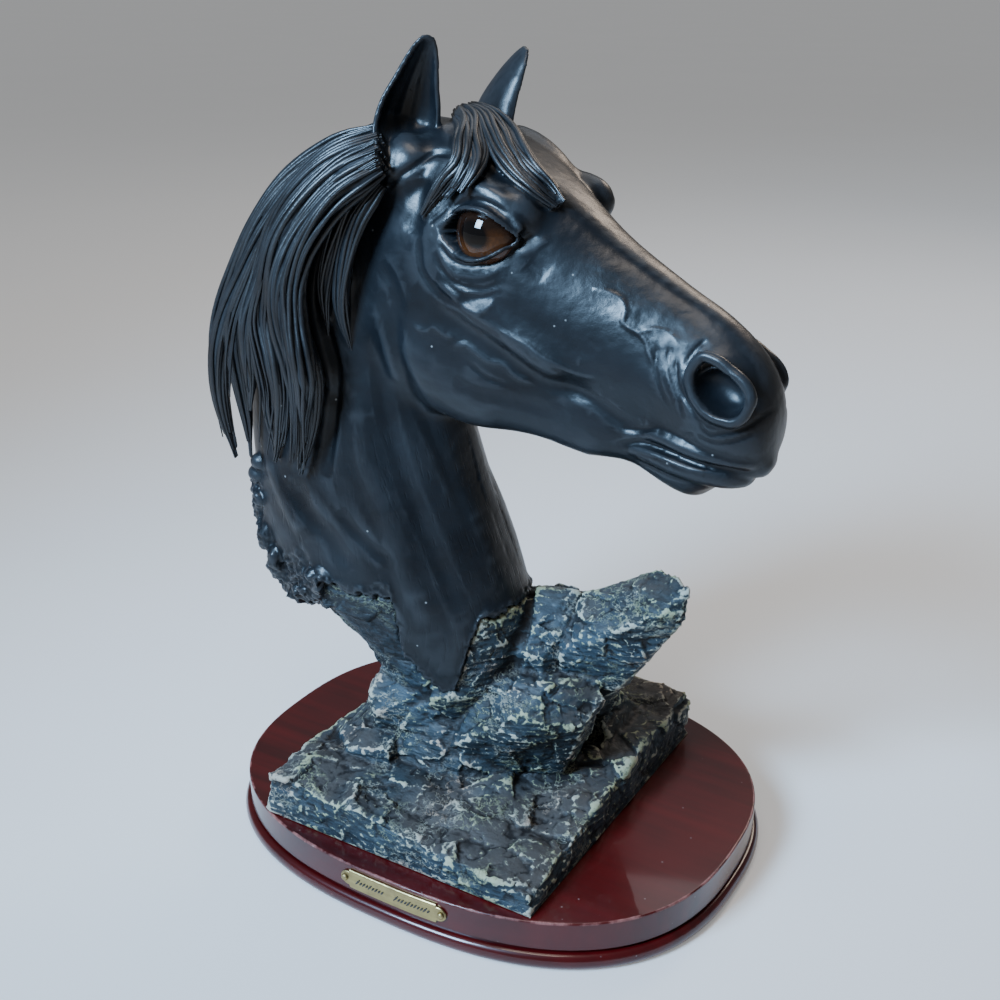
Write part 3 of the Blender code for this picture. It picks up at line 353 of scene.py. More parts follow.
brass, tree, shader = material("aged brass", (0.6, 0.5, 0.3), 0.35, 1.0)
brushed = mottle(tree, on_object(tree, (40, 900, 900)), 1.0, 4.0)
tarnish = ramp(tree, mottle(tree, on_object(tree), 160.0, 5.0, 0.65), 0.42, 0.72)
metal = blend(tree, brushed, (0.31, 0.24, 0.09), (0.48, 0.39, 0.18))
metal = blend(tree, times(tree, tarnish, 0.55), metal, (0.26, 0.19, 0.11))
put(tree, shader.inputs["Base Color"], metal)
put(tree, shader.inputs["Roughness"], ramp(tree, tarnish, 0.0, 1.0, 0.33, 0.55))
bumped(tree, shader, brushed, 0.00006, 0.5)

enamel, tree, shader = material("dark enamel", (0.012, 0.011, 0.010), 0.4)
patches = ramp(tree, mottle(tree, on_object(tree), 900.0), 0.35, 0.7)
put(tree, shader.inputs["Base Color"], blend(tree, patches, (0.008, 0.008, 0.008), (0.05, 0.04, 0.03)))
put(tree, shader.inputs["Roughness"], ramp(tree, patches, 0.0, 1.0, 0.3, 0.6))

half = PLATE_LENGTH / 2
columns = np.unique(np.concatenate([np.linspace(-half, half, 61), half - np.geomspace(0.02, 4.0, 12),
                                    np.geomspace(0.02, 4.0, 12) - half, [-23.8, -23.45, 23.45, 23.8]]))
rings = []
for x in columns:
    h, at = plate_half_height(x), x + PLATE_SHIFT
    front, back = SEAT_GAP + PLATE_THICKNESS, SEAT_GAP
    soft = min(0.22, 0.4 * h)
    section = ((back, -h), (front - soft, -h), (front, -h + soft), (front, h - soft), (front - soft, h), (back, h))
    rings.append([(at, front_face(at, out), PLATE_MIDDLE + z) for out, z in section])
plate = piece("nameplate_strip", *loft(rings), brass, 25)
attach(plate, "root")
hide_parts("nameplate")

strokes = []
for start, count in ((-19.0, 9), (2.6, 11)):
    for k in range(count):
        tall = (2.5, 1.3, 1.6, 1.2, 2.1, 1.3, 1.7, 1.2, 1.4, 2.2, 1.2)[k]
        f = np.linspace(-1, 1, 9)
        x = start + 1.75 * k + 0.5 * tall * f + PLATE_SHIFT
        z = PLATE_MIDDLE - 0.25 + 0.62 * tall * f + 0.25 * (tall - 1.2)
        y = np.array([front_face(v, SEAT_GAP + PLATE_THICKNESS + 0.02) for v in x])
        thick = (0.56 - 0.26 * np.abs(f)) * MM
        strokes.append((np.stack([x, y, z], 1) * MM, thick, 0.0))
marks = rods("nameplate_strokes", strokes, 6, 1.0, enamel)
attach(marks, "root")
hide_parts("nameplate")

# Pins
# Two small brass pins with round heads, pushed through the ends of the plate into the board.

PIN_HEAD_DIAMETER = 3.4
PIN_SHANK_DIAMETER = 1.4
PIN_SHANK_LENGTH = 5.0
PIN_GAP = 0.3

for name, side in (("pin_left", -1), ("pin_right", 1)):
    x = PLATE_SHIFT + side * (PLATE_LENGTH / 2 - PLATE_TAB * 0.62)
    head, shank = PIN_HEAD_DIAMETER / 2, PIN_SHANK_DIAMETER / 2
    seat = SEAT_GAP + PLATE_THICKNESS + PIN_GAP
    dome = [(head * math.cos(a), seat + 0.25 + head * 0.62 * math.sin(a)) for a in np.linspace(0, 1.5, 9)]
    profile = [(shank, seat - PIN_SHANK_LENGTH), (shank, seat), (head * 0.94, seat), (head, seat + 0.08)] + dome
    turn = np.linspace(0, 2 * math.pi, 28, endpoint=False)
    rings = [[(x + r * math.cos(a), front_face(x, out), PLATE_MIDDLE + r * math.sin(a)) for a in turn]
             for r, out in profile]
    pin = piece(name + "_round", *loft(rings), brass, 50)
    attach(pin, "root")
    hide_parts(name)

# Rocks
# The slab, boulders and broken blocks are the lower half of one resin casting. They are painted
# slate blue and dry-brushed with cream on the edges, with brown patches on the tops that face up.
# Painted shade darkens the creases, the cracks and the rock under the neck.

SLAB_LENGTH = 149.0
SLAB_WIDTH = 171.5
SLAB_SHIFT = (-2.4, -6.0)
ROCK_VOXEL = 1.2
ROCK_TRIANGLES = 188000
# How deep each half of the casting is sunk where the other half covers it
TUCK = 6.5
PAINT_IOR = 1.36
CASTING_FOOT = np.array([0.0, 0.0, PLINTH_HEIGHT + SEAT_GAP])
KNOLL = ((-20, 2, 8), (56, 52, 54))
LEDGE = ((-48, -45, 50), (-46, -31, 60), (-18, -37, 60), (-5, -34, 52), (-42, -48, 45), (-60, -10, 52), (-20, -10, 62),
         (-62, 6, 40), (-44, -42, 28), (-8, -36, 28), (-50, -10, 14), (0, -10, 30))
BLOCK = ((16, 10, 104), (35, 19, 103), (42, 34, 95), (0, 32, 93), (10, 2, 97), (12, -15, 82), (30, -9, 78),
         (36, 6, 94), (-10, -14, 50), (30, -8, 40), (50, 40, 30), (-8, 46, 30), (50, 22, 66), (-10, -10, 20))
BIG_ROCK = ((39, 16, 104), (71, 35, 118), (95, 15, 122), (94, 13, 106), (82, 11, 94), (66, 8, 66), (47, -1, 94),
            (68, -1, 100), (85, 6, 110), (36, -5, 78), (55, 4, 70), (70, 34, 104), (52, 42, 84), (44, 44, 56),
            (54, 18, 46), (44, 8, 40), (46, 40, 46))
BOULDER = ((3, -9, 69), (37, -21, 69), (52, 4, 68), (61, -1, 60), (58, -16, 52), (42, -30, 56), (34, -33, 48),
           (-3, -42, 34), (9, -19, 68), (33, -32, 60), (44, -14, 16), (10, -30, 12), (-14, -30, 14), (44, 4, 16))
RIGHT_STONE = ((58, 36, 22), (44, 46, 36), (18, 50, 46), (58, 58, 20), (26, 30, 54), (12, 62, 30), (60, 18, 18),
               (60, 64, 8), (10, 66, 8), (10, 20, 8), (64, 20, 8))
BACK_STONE = ((-58, 44, 28), (-34, 54, 36), (-22, 34, 60), (-48, 20, 62), (-62, 56, 20), (-16, 60, 26), (-8, 22, 46),
              (-64, 28, 24), (-64, 64, 8), (-10, 64, 8), (-10, 20, 8), (-64, 20, 8))
LEFT_STONE = ((-66, -20, 30), (-50, -34, 36), (-30, -54, 30), (-52, -58, 26), (-68, -44, 24), (-40, -20, 40),
              (-66, -20, 8), (-66, -52, 8), (-30, -56, 8), (-30, -20, 8))
FRONT_STONE = ((12, -62, 22), (40, -58, 17), (52, -74, 13), (30, -82, 12), (6, -78, 17), (24, -48, 20), (50, -60, 4),
               (10, -80, 4), (30, -46, 4), (46, -80, 4))
STONES = (LEDGE, BLOCK, BIG_ROCK, BOULDER, RIGHT_STONE, BACK_STONE, LEFT_STONE, FRONT_STONE)
# Height of the slab's corners: front left, front right, back right, back left
CORNER_HEIGHTS = (22.0, 10.0, 27.0, 26.0)
# The neck inside the rocks: its front, back and half width at each height
NECK_YAW = math.radians(10.0)
NECK_FRONT = smooth_line((40, 4), (56, 10), (70, 15), (88, 17), (110, 12), (130, 5), (155, -4), (185, -13),
                         (215, -23), (245, -31), (275, -36), (318, -44))
NECK_BACK = smooth_line((40, -48), (56, -59), (70, -72), (84, -90), (96, -111), (110, -122), (125, -127),
                        (150, -128), (187, -129), (217, -128), (245, -119), (265, -108), (285, -90), (303, -70),
                        (318, -50))
NECK_WIDTH = smooth_line((40, 32), (60, 35), (80, 38), (100, 40), (125, 39), (160, 36), (200, 32), (235, 30),
                         (265, 28), (290, 24), (310, 17), (318, 8))
# Ragged line on the neck where the horse ends and rock begins: (along, up)
SKIN_EDGE = smooth_line((-120, 86), (-98, 92), (-88, 104), (-80, 112), (-72, 110), (-62, 109), (-52, 108),
                        (-42, 112), (-38, 108), (-34.5, 82), (-29, 73), (-23, 67), (-18, 63), (-13.7, 60), (-9, 62),
                        (-5.8, 72), (-1.3, 90), (2, 98), (8, 99.5), (15, 101), (34, 106))
UP = np.array([0.0, 0.0, 1.0])


class Frame:
    """Three axes from an origin: along, down (or up) and sideways, negative on the near side."""

    def __init__(self, origin, along, down, side):
        self.origin = origin
        self.axes = np.array([along, down, side])

    def point(self, a, b, c):
        return self.origin + np.stack(np.broadcast_arrays(a, b, c), -1) @ self.axes

    def local(self, points):
        return (points - self.origin) @ self.axes.T


def turned(yaw):
    return np.array([math.cos(yaw), math.sin(yaw), 0.0]), np.array([-math.sin(yaw), math.cos(yaw), 0.0])


NECK_AHEAD, NECK_SIDE = turned(NECK_YAW)
NECK = Frame(np.zeros(3), NECK_AHEAD, UP, NECK_SIDE)


def neck_ring(z, around=48):
    """The neck's section: an egg, fuller towards the throat and thin at the crest."""
    front, back, width = NECK_FRONT(z), NECK_BACK(z), NECK_WIDTH(z)
    turn = np.linspace(0, 2 * math.pi, around, endpoint=False)
    middle, half = (front + back) / 2, (front - back) / 2
    c, s = np.cos(turn), np.sin(turn)
    along = middle + half * np.sign(c) * np.abs(c) ** 0.9
    side = width * np.sign(s) * np.abs(s) ** 0.85 * (1 + 0.14 * c - 0.1 * c * c)
    return NECK.point(along, np.full(around, z), side)


def ellipsoid(centre, radii, axes=np.eye(3), detail=3):
    shape = bmesh.new()
    bmesh.ops.create_icosphere(shape, subdivisions=detail, radius=1.0)
    points = np.array([v.co for v in shape.verts])
    faces = [tuple(v.index for v in f.verts) for f in shape.faces]
    shape.free()
    return np.array(centre) + (points * np.array(radii)) @ np.array(axes), faces


def chunk(points):
    """A broken stone: the tight wrap of a few corners."""
    shape = bmesh.new()
    for p in points:
        shape.verts.new(p)
    bmesh.ops.convex_hull(shape, input=list(shape.verts))
    bmesh.ops.delete(shape, geom=[v for v in shape.verts if not v.link_faces], context="VERTS")
    shape.verts.index_update()
    found = np.array([v.co for v in shape.verts]), [tuple(v.index for v in f.verts) for f in shape.faces]
    shape.free()
    return found


def slab_top(x, y):
    """Height of the ground between the rocks."""
    fx = (x - SLAB_SHIFT[0]) / SLAB_LENGTH + 0.5
    fy = (y - SLAB_SHIFT[1]) / SLAB_WIDTH + 0.5
    front = CORNER_HEIGHTS[0] * (1 - fx) + CORNER_HEIGHTS[1] * fx
    back = CORNER_HEIGHTS[3] * (1 - fx) + CORNER_HEIGHTS[2] * fx
    rise = 9.0 * math.exp(-((fx - 0.45) ** 2 + (fy - 0.6) ** 2) / 0.08)
    spur = 5.0 * math.exp(-((x + 40 + 0.55 * (y + 60)) / 7) ** 2) * math.exp(-(((y + 76) / 20) ** 2))
    rough = noise.fractal(Vector((x, y, 3.0)) * 0.035, 0.8, 2.0, 2) * 3.2
    return front * (1 - fy) + back * fy + rise + spur + rough


def slab():
    """The ground: a thick broken slab with uneven sides and top."""
    across, deep = 30, 34
    top, bottom = [], []
    for j in range(deep + 1):
        for i in range(across + 1):
            x = SLAB_SHIFT[0] + SLAB_LENGTH * (i / across - 0.5)
            y = SLAB_SHIFT[1] + SLAB_WIDTH * (j / deep - 0.5)
            inset = 1.6 + noise.noise(Vector((x * 0.07, y * 0.07, 8.0))) * 2.4
            top_x = x - inset * (i == across) + inset * (i == 0)
            top_y = y - inset * (j == deep) + inset * (j == 0)
            top.append((top_x, top_y, slab_top(x, y)))
            bottom.append((x, y, 0.0))
    count = (across + 1) * (deep + 1)
    faces = []
    for j in range(deep):
        for i in range(across):
            a = j * (across + 1) + i
            square = (a, a + 1, a + across + 2, a + across + 1)
            faces.append(square)
            faces.append(tuple(k + count for k in reversed(square)))
    rim = list(range(across))
    rim += [j * (across + 1) + across for j in range(deep)]
    rim += [deep * (across + 1) + i for i in range(across, 0, -1)]
    rim += [j * (across + 1) for j in range(deep, 0, -1)]
    for a, b in zip(rim, rim[1:] + rim[:1]):
        faces.append((b, a, a + count, b + count))
    return np.array(top + bottom, float), faces


def applied(item):
    """The piece again with its modifiers applied to its mesh."""
    mesh = bpy.data.meshes.new_from_object(item.evaluated_get(bpy.context.evaluated_depsgraph_get()))
    item.modifiers.clear()
    item.data = mesh
    return item


def fused(name, forms, voxel, smooth=0, subdivide=0):
    """All the forms as one skin, made even and softened, still in millimetres."""
    points, faces, offset = [], [], 0
    for form_points, form_faces in forms:
        points.append(form_points)
        faces += [tuple(k + offset for k in f) for f in form_faces]
        offset += len(form_points)
    item = piece(name, np.concatenate(points), faces, None, 180, 1.0)
    step = item.modifiers.new("Fuse", "REMESH")
    step.mode = "VOXEL"
    step.voxel_size = voxel
    if smooth:
        step = item.modifiers.new("Soften", "SMOOTH")
        step.factor = 0.5
        step.iterations = smooth
    if subdivide:
        step = item.modifiers.new("Finer", "SUBSURF")
        step.levels = subdivide
        step.render_levels = subdivide
    return applied(item)


def arrays(item):
    """Point and normal arrays of a piece's mesh."""
    mesh = item.data
    points = np.empty(len(mesh.vertices) * 3, np.float32)
    normals = np.empty(len(mesh.vertices) * 3, np.float32)
    mesh.vertices.foreach_get("co", points)
    mesh.vertex_normals.foreach_get("vector", normals)
    return points.reshape(-1, 3).astype(float), normals.reshape(-1, 3).astype(float)


def moved(item, points):
    item.data.vertices.foreach_set("co", points.astype(np.float32).ravel())
    item.data.update()


def neighbours(item):
    pairs = np.empty(len(item.data.edges) * 2, np.int32)
    item.data.edges.foreach_get("vertices", pairs)
    return pairs.reshape(-1, 2).T


def evened(item, values, rounds):
    """Values at the points, averaged with their neighbours over and over."""
    a, b = neighbours(item)
    count = len(values)
    share = np.maximum(np.bincount(a, minlength=count) + np.bincount(b, minlength=count), 1)
    for _ in range(rounds):
        total = np.stack([np.bincount(a, values[b, k], count) + np.bincount(b, values[a, k], count)
                          for k in range(values.shape[1])], 1)
        values = 0.5 * values + 0.5 * total / share[:, None]
    return values


def relief(item, rounds):
    """How far each point stands above the surface averaged around it."""
    points, normals = arrays(item)
    return ((points - evened(item, points, rounds)) * normals).sum(1)


def fewer_faces(item, triangles):
    """Keeps the piece under a count of triangles, dropping them where it is smoothest."""
    have = sum(len(f.vertices) - 2 for f in item.data.polygons)
    if have > triangles:
        step = item.modifiers.new("Fewer faces", "DECIMATE")
        step.ratio = triangles / have
        applied(item)


def in_metres(item, finish):
    item.data.transform(Matrix.Translation(CASTING_FOOT * MM) @ Matrix.Scale(MM, 4))
    item.data.materials.clear()
    item.data.materials.append(finish)
    item.data.shade_smooth()


def below_skin_edge(points):
    """1 where a point of the neck is under the ragged edge, 0 above it."""
    local = NECK.local(points)
    ragged = np.array([noise.noise(Vector(p) * 0.16) * 5.0 + noise.noise(Vector(p) * 0.45) * 2.6 for p in points])
    return np.clip((SKIN_EDGE(local[:, 0]) + ragged - local[:, 1]) / 1.8 + 0.5, 0, 1)


def broken(points, spacing, slope, step, seed, squash=1.7):
    """Lift that breaks a surface into tilted plates with small steps between them."""
    rng = np.random.default_rng(seed)
    low, high = points.min(0) - spacing, points.max(0) + spacing
    size = high - low
    count = int(size[0] * size[1] * size[2] * squash / spacing ** 3)
    seeds = low + rng.random((count, 3)) * size
    tilts = rng.normal(size=(count, 3)) * slope
    steps = rng.uniform(-step, step, count)
    tree = kdtree.KDTree(count)
    for k, p in enumerate(seeds * (1, 1, squash)):
        tree.insert(p, k)
    tree.balance()
    cell = np.array([tree.find(p)[1] for p in points * (1, 1, squash)])
    return ((points - seeds[cell]) * tilts[cell]).sum(1) + steps[cell]


def noisy(points, scale, depth, octaves=3):
    return depth * np.array([noise.fractal(Vector(p) * scale, 0.8, 2.1, octaves) for p in points])


core = loft([neck_ring(z) for z in np.linspace(38, 150, 24)])
rocks = fused("rocks", [slab(), ellipsoid(*KNOLL, detail=4), core] + [chunk(c) for c in STONES], ROCK_VOXEL)
points, normals = arrays(rocks)
local = NECK.local(points)
inside = local[:, 1] > 60
hidden = np.zeros(len(points))
hidden[inside] = 1 - below_skin_edge(points[inside])
column = (np.abs(local[:, 2]) < 43) & (local[:, 0] < NECK_FRONT(local[:, 1]) + 3) & (local[:, 1] > 64)
hidden *= column
middle = (NECK_FRONT(local[:, 1]) + NECK_BACK(local[:, 1])) / 2
half = (NECK_FRONT(local[:, 1]) - NECK_BACK(local[:, 1])) / 2
hidden *= ((local[:, 0] - middle) / half) ** 2 + (local[:, 2] / NECK_WIDTH(local[:, 1])) ** 2 < 1.3
lift = broken(points, 22.0, 0.055, 0.26, 3) + broken(points, 9.0, 0.07, 0.13, 4)
lift += noisy(points, 0.07, 0.5) + noisy(points, 0.42, 0.10, 2)
level = 1 - np.abs(normals[:, 2])
strata = np.abs(((points[:, 2] + noisy(points, 0.03, 5.0, 2)) / 3.4) % 1.0 - 0.5) * 2
lift += level * (0.55 * strata - 0.28)
crack = 0.5 - np.abs(noisy(points, 0.055, 1.0, 2))
lift -= 0.8 * np.clip((crack - 0.47) / 0.03, 0, 1)
foot = np.clip(points[:, 2] / 2.5, 0, 1)
points += normals * (lift * foot * (1 - hidden) - TUCK * hidden - 1.2 * (1 - hidden) * column)[:, None]
points[:, 2] = np.maximum(points[:, 2], 0)
moved(rocks, points)
fewer_faces(rocks, ROCK_TRIANGLES)
fine, wide = relief(rocks, 3), relief(rocks, 30)
local = NECK.local(arrays(rocks)[0])
# Painted shade on the rock under the overhang of the neck: it loses its cream edges and is darkened with the hollows.
under = np.clip((local[:, 1] - 58) / 22, 0, 1) * np.clip((NECK_FRONT(local[:, 1]) - 14 - local[:, 0]) / 14, 0, 1)
store(rocks, "ridge", np.clip(fine / 0.15, -1, 1) * 0.55 + np.clip(wide / 1.4, -1, 1) * 0.55 - 0.9 * under)
_, normals = arrays(rocks)
store(rocks, "flat", np.clip((normals[:, 2] - 0.45) / 0.35, 0, 1))
# The hollow value is painted shade: it takes creases, cracks and the rock under the neck to near black.
store(rocks, "hollow", np.clip(-fine / 0.12, 0, 1) * 0.4 + np.clip(-wide / 1.5, 0, 1) * 0.8 + 0.45 * under)

stone, tree, shader = material("dry-brushed stone paint", (0.08, 0.12, 0.15), 0.6)
place = on_object(tree)
patches = mottle(tree, place, 24.0, 4.0)
small = mottle(tree, place, 330.0, 5.0, 0.7)
lined = on_object(tree, (1.0, 1.0, 1.8), (0.35, 0.2, 0.5))


def wrinkles(tree, place, scale, width, detail):
    """Thin crooked lines, like the folds of crumpled paper."""
    drift = maths(tree, "ABSOLUTE", maths(tree, "SUBTRACT", mottle(tree, place, scale, detail, 0.62), 0.5))
    return ramp(tree, drift, 0.0, width, 1.0, 0.0)


veins = maths(tree, "MAXIMUM", wrinkles(tree, lined, 48.0, 0.016, 5.0), wrinkles(tree, lined, 120.0, 0.024, 3.0))
broken_up = ramp(tree, mottle(tree, place, 40.0, 4.0), 0.47, 0.6)
veins = times(tree, veins, broken_up)
hatch = mottle(tree, on_object(tree, (90, 150, 520), (0.15, 0.3, 0.0)), 1.0, 4.0, 0.6)
paint = blend(tree, ramp(tree, patches, 0.38, 0.62), (0.007, 0.012, 0.016), (0.024, 0.042, 0.057))
paint = blend(tree, ramp(tree, hatch, 0.5, 0.75, 0.0, 0.65), paint, (0.056, 0.084, 0.102))
brown = times(tree, ramp(tree, mottle(tree, place, 15.0), 0.40, 0.55), kept(tree, "flat"))
paint = blend(tree, times(tree, brown, 0.8), paint, (0.062, 0.053, 0.047))
# Painted shade: creases, cracks and the rock under the neck go near black by the hollow value.
paint = blend(tree, ramp(tree, kept(tree, "hollow"), 0.12, 0.62, 0.0, 0.92), paint, (0.009, 0.009, 0.010))
hue = mottle(tree, place, 34.0)
cream = blend(tree, ramp(tree, hue, 0.42, 0.52), (0.37, 0.39, 0.24), (0.43, 0.42, 0.34))
cream = blend(tree, ramp(tree, hue, 0.56, 0.66), cream, (0.44, 0.33, 0.25))
# Cream on the raised edges, except on the rock under the neck, which carries painted shade instead.
edges = maths(tree, "ADD", kept(tree, "ridge"), times(tree, maths(tree, "SUBTRACT", small, 0.5), 2.6))
edges = ramp(tree, edges, 0.58, 0.94)
paint = blend(tree, times(tree, veins, 0.5), paint, cream)
paint = blend(tree, times(tree, edges, 0.8), paint, cream)
put(tree, shader.inputs["Base Color"], paint)
put(tree, shader.inputs["Roughness"], ramp(tree, small, 0.3, 0.7, 0.38, 0.66))
shader.inputs["IOR"].default_value = PAINT_IOR
height = maths(tree, "ADD", times(tree, veins, 0.35), times(tree, small, 0.5))
bumped(tree, shader, maths(tree, "ADD", height, hatch), 0.0009, 0.9)

in_metres(rocks, stone)
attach(rocks, "root")
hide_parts("casting")

# Horse
# Head, neck and the torn edge are the upper half of the same casting, modelled in clay before it
# was moulded. It is sprayed satin black, with creases, veins and wrinkles left by the modeller.

FLESH_VOXEL = 2.6
SKIN_VOXEL = 1.0
HORSE_TRIANGLES = 192000
EYE_DIAMETER = 30.4
HEAD_YAW = math.radians(-8.0)
HEAD_PITCH = math.radians(30.0)
HEAD_ROLL = math.radians(7.0)
HEAD_ORIGIN = np.array([0.0, 0.0, 328.0])
# The head tilts to its far side about the line of the near eye: (down, side)
ROLL_LINE = (30.0, -32.0)
HEAD_AHEAD, HEAD_SIDE = turned(HEAD_YAW)


def head_frame():
    along = HEAD_AHEAD * math.cos(HEAD_PITCH) - UP * math.sin(HEAD_PITCH)
    level = np.array([-HEAD_AHEAD * math.sin(HEAD_PITCH) - UP * math.cos(HEAD_PITCH), HEAD_SIDE])
    c, s = math.cos(HEAD_ROLL), math.sin(HEAD_ROLL)
    tilted = np.array([[c, -s], [s, c]]) @ level
    origin = HEAD_ORIGIN + np.array(ROLL_LINE) @ (level - tilted)
    return Frame(origin, along, tilted[0], tilted[1])


HEAD = head_frame()

# Lines along the head, from the poll at -38 to the lips at 186
TOP_LINE = smooth_line((-38, 22), (-20, 13), (-5, 5), (15, 1), (40, 0), (75, 2.2), (110, 0.6), (140, -1.4), (156, 1.5),
                       (168, 8), (177, 18), (184, 33))
BOTTOM_LINE = smooth_line((-38, 56), (-32, 82), (-22, 103), (-10, 118), (4, 121.5), (20, 122.5), (36, 121.5),
                          (56, 117.5), (76, 109.5), (86, 102), (96, 96), (110, 90), (122, 85.5), (134, 76), (144, 72),
                          (154, 70.5), (162, 67.5), (169, 62), (175, 53), (184, 40))
TOP_WIDTH = smooth_line((-38, 12), (-20, 20), (0, 24), (30, 25), (55, 20), (80, 15), (110, 12), (140, 10.5), (158, 11),
                        (170, 11), (180, 9), (186, 4))
SIDE_WIDTH = smooth_line((-38, 20), (-20, 29), (0, 33), (28, 36), (52, 34), (75, 29), (100, 24), (125, 20.5), (145, 21),
                         (158, 22), (168, 19), (177, 13), (184, 4))
SIDE_DEPTH = smooth_line((-38, 34), (0, 36), (30, 32), (60, 38), (90, 42), (120, 36), (150, 30), (170, 34), (186, 37))
JAW_WIDTH = smooth_line((-38, 18), (-28, 29), (-10, 34), (15, 35.5), (40, 34), (62, 29), (85, 22.5), (110, 17.5),
                        (137, 14.5), (155, 15.5), (167, 14), (177, 10), (184, 4))


def path(points, count):
    """Evenly spread points along a smooth curve through the given ones."""
    points = np.array(points, float)
    along = np.concatenate([[0], np.cumsum(np.linalg.norm(np.diff(points, axis=0), axis=1))])
    places = np.linspace(0, along[-1], int(count))
    return np.stack([smooth_line(*zip(along, points[:, k]))(places) for k in range(points.shape[1])], 1)


def tube(points, radii, out=(0, 0, 1), sides=14):
    """A tapering tube along a path."""
    points = np.array(points, float)
    ahead = np.gradient(points, axis=0)
    ahead /= np.linalg.norm(ahead, axis=1)[:, None]
    across = np.cross(ahead, np.array(out, float))
    across /= np.linalg.norm(across, axis=1)[:, None] + 1e-9
    lift = np.cross(across, ahead)
    turn = np.linspace(0, 2 * math.pi, sides, endpoint=False)
    ring = np.cos(turn)[None, :, None] * across[:, None, :] + np.sin(turn)[None, :, None] * lift[:, None, :]
    return loft(points[:, None, :] + ring * np.array(radii, float)[:, None, None])


def head_ring(t):
    """The head's section at t: brow, side and jaw on both sides, smoothed into one ring."""
    top, bottom = TOP_LINE(t), BOTTOM_LINE(t)
    drop = bottom - top
    half = [
        (0, top),
        (TOP_WIDTH(t) * 0.62, top + 0.012 * drop),
        (TOP_WIDTH(t), top + 0.07 * drop),
        (SIDE_WIDTH(t), min(SIDE_DEPTH(t), top + 0.5 * drop)),
        (JAW_WIDTH(t), top + 0.66 * drop),
        (JAW_WIDTH(t) * 0.97, bottom - 0.16 * drop),
        (JAW_WIDTH(t) * 0.62, bottom - 0.02 * drop),
        (0, bottom - 0.03 * drop),
    ]
    ring = half + [(-s, d) for s, d in reversed(half[1:-1])]
    ring = path(ring + [ring[0]], 61)[:-1]
    return HEAD.point(t, ring[:, 1], ring[:, 0])


def as_form(item):
    """A piece's mesh as points and faces; the piece itself is removed."""
    points, _ = arrays(item)
    faces = [tuple(f.vertices) for f in item.data.polygons]
    bpy.data.objects.remove(item, do_unlink=True)
    return points, faces


def head_lump(t, d, s, radii):
    """A muscle or bone under the skin, on both sides of the head."""
    return [ellipsoid(HEAD.point(t, d, side * s), radii, HEAD.axes) for side in (-1, 1)]


def flesh():
    """The soft masses, fused and smoothed until they run into each other."""
    stations = np.concatenate([np.linspace(-38, 20, 14), np.linspace(26, 150, 18), np.linspace(155, 186, 10)])
    forms = [loft([head_ring(t) for t in stations]), loft([neck_ring(z) for z in np.linspace(52, 318, 44)])]
    forms += [ellipsoid(HEAD.point(34, 17, 32), (20, 10, 10), HEAD.axes)]
    forms += [ellipsoid(HEAD.point(34, 17, -28), (19, 9, 9), HEAD.axes)]
    forms += head_lump(8, 90, 27, (34, 32, 8))
    forms += head_lump(66, 58, 24, (32, 7, 7))
    forms += [ellipsoid(HEAD.point(14, 10.5, 23), (24, 10, 10), HEAD.axes)]
    forms += [ellipsoid(HEAD.point(41, 10, 31), (13, 9, 9), HEAD.axes)]
    forms += [ellipsoid(HEAD.point(41, 12, -25), (13, 8, 8), HEAD.axes)]
    forms += head_lump(-14, 34, 26, (16, 16, 12))
    forms += head_lump(154, 18, 13, (14, 12, 10))
    forms += [ellipsoid(HEAD.point(157, 61, 0), (14, 9, 13), HEAD.axes)]
    forms += [ellipsoid(HEAD.point(171, 35, 0), (9.5, 15, 13), HEAD.axes)]
    return as_form(fused("flesh", forms, FLESH_VOXEL, 10, 1))


EYE_PLACE = (38.0, 28.5)
EYE_OUT = 25.5
LID_TURN = math.radians(-31.0)
UPPER_LID = ((-18.5, 1), (-14.5, -5.2), (-7.6, -8.6), (-1, -9.4), (6, -8.2), (11.5, -5), (17.5, 0.5))
LOWER_LID = ((-18.5, 1), (-15, 4.2), (-10.5, 7.6), (-2.7, 9.5), (6.4, 8), (12.5, 4), (17.5, 0.5))


def lid_path(outline, side, grow, count=30):
    """A lid's edge, laid on a ball a little larger than the eye."""
    flat = path(outline, count)
    reach = EYE_DIAMETER / 2 + grow
    run, drop = flat[:, 0], flat[:, 1]
    rise = np.sqrt(np.maximum(reach ** 2 - run ** 2 - drop ** 2, (0.42 * reach) ** 2))
    t = EYE_PLACE[0] + run * math.cos(LID_TURN) - drop * math.sin(LID_TURN)
    d = EYE_PLACE[1] + run * math.sin(LID_TURN) + drop * math.cos(LID_TURN)
    return HEAD.point(t, d, side * (EYE_OUT + rise))


def swell(count, thick, ends):
    """Radii that are thin at both ends and thick between."""
    f = np.linspace(0, 1, count)
    return ends + (thick - ends) * np.sin(math.pi * f) ** 0.7


def eyelids():
    forms = []
    for side in (-1, 1):
        out = HEAD.axes[2] * side
        forms.append(tube(lid_path(UPPER_LID, side, 1.5), swell(30, 2.2, 1.2), out))
        forms.append(tube(lid_path(LOWER_LID, side, 1.2), swell(30, 2.1, 1.1), out))
        upper = [(x * 1.05, y * 1.3 - 3.4) for x, y in UPPER_LID]
        forms.append(tube(lid_path(upper, side, -0.6), swell(30, 2.6, 1.4), out))
    return forms


EAR_WIDTH = smooth_line((0, 13), (0.2, 15.5), (0.4, 14.5), (0.62, 10.8), (0.82, 7.6), (0.94, 5.0), (1, 2.6))
EAR_DEPTH = smooth_line((0, 13), (0.3, 11.5), (0.6, 8.5), (0.85, 4.8), (1, 1.6))
EAR_FEET = {-1: (-19.5, 30, -27), 1: (-14, 30, 27)}
EAR_SPREAD = {-1: 0.92, 1: 1.42}
EAR_TIPS = {-1: (-32, -18.5, -27), 1: (-21, -23, 27)}


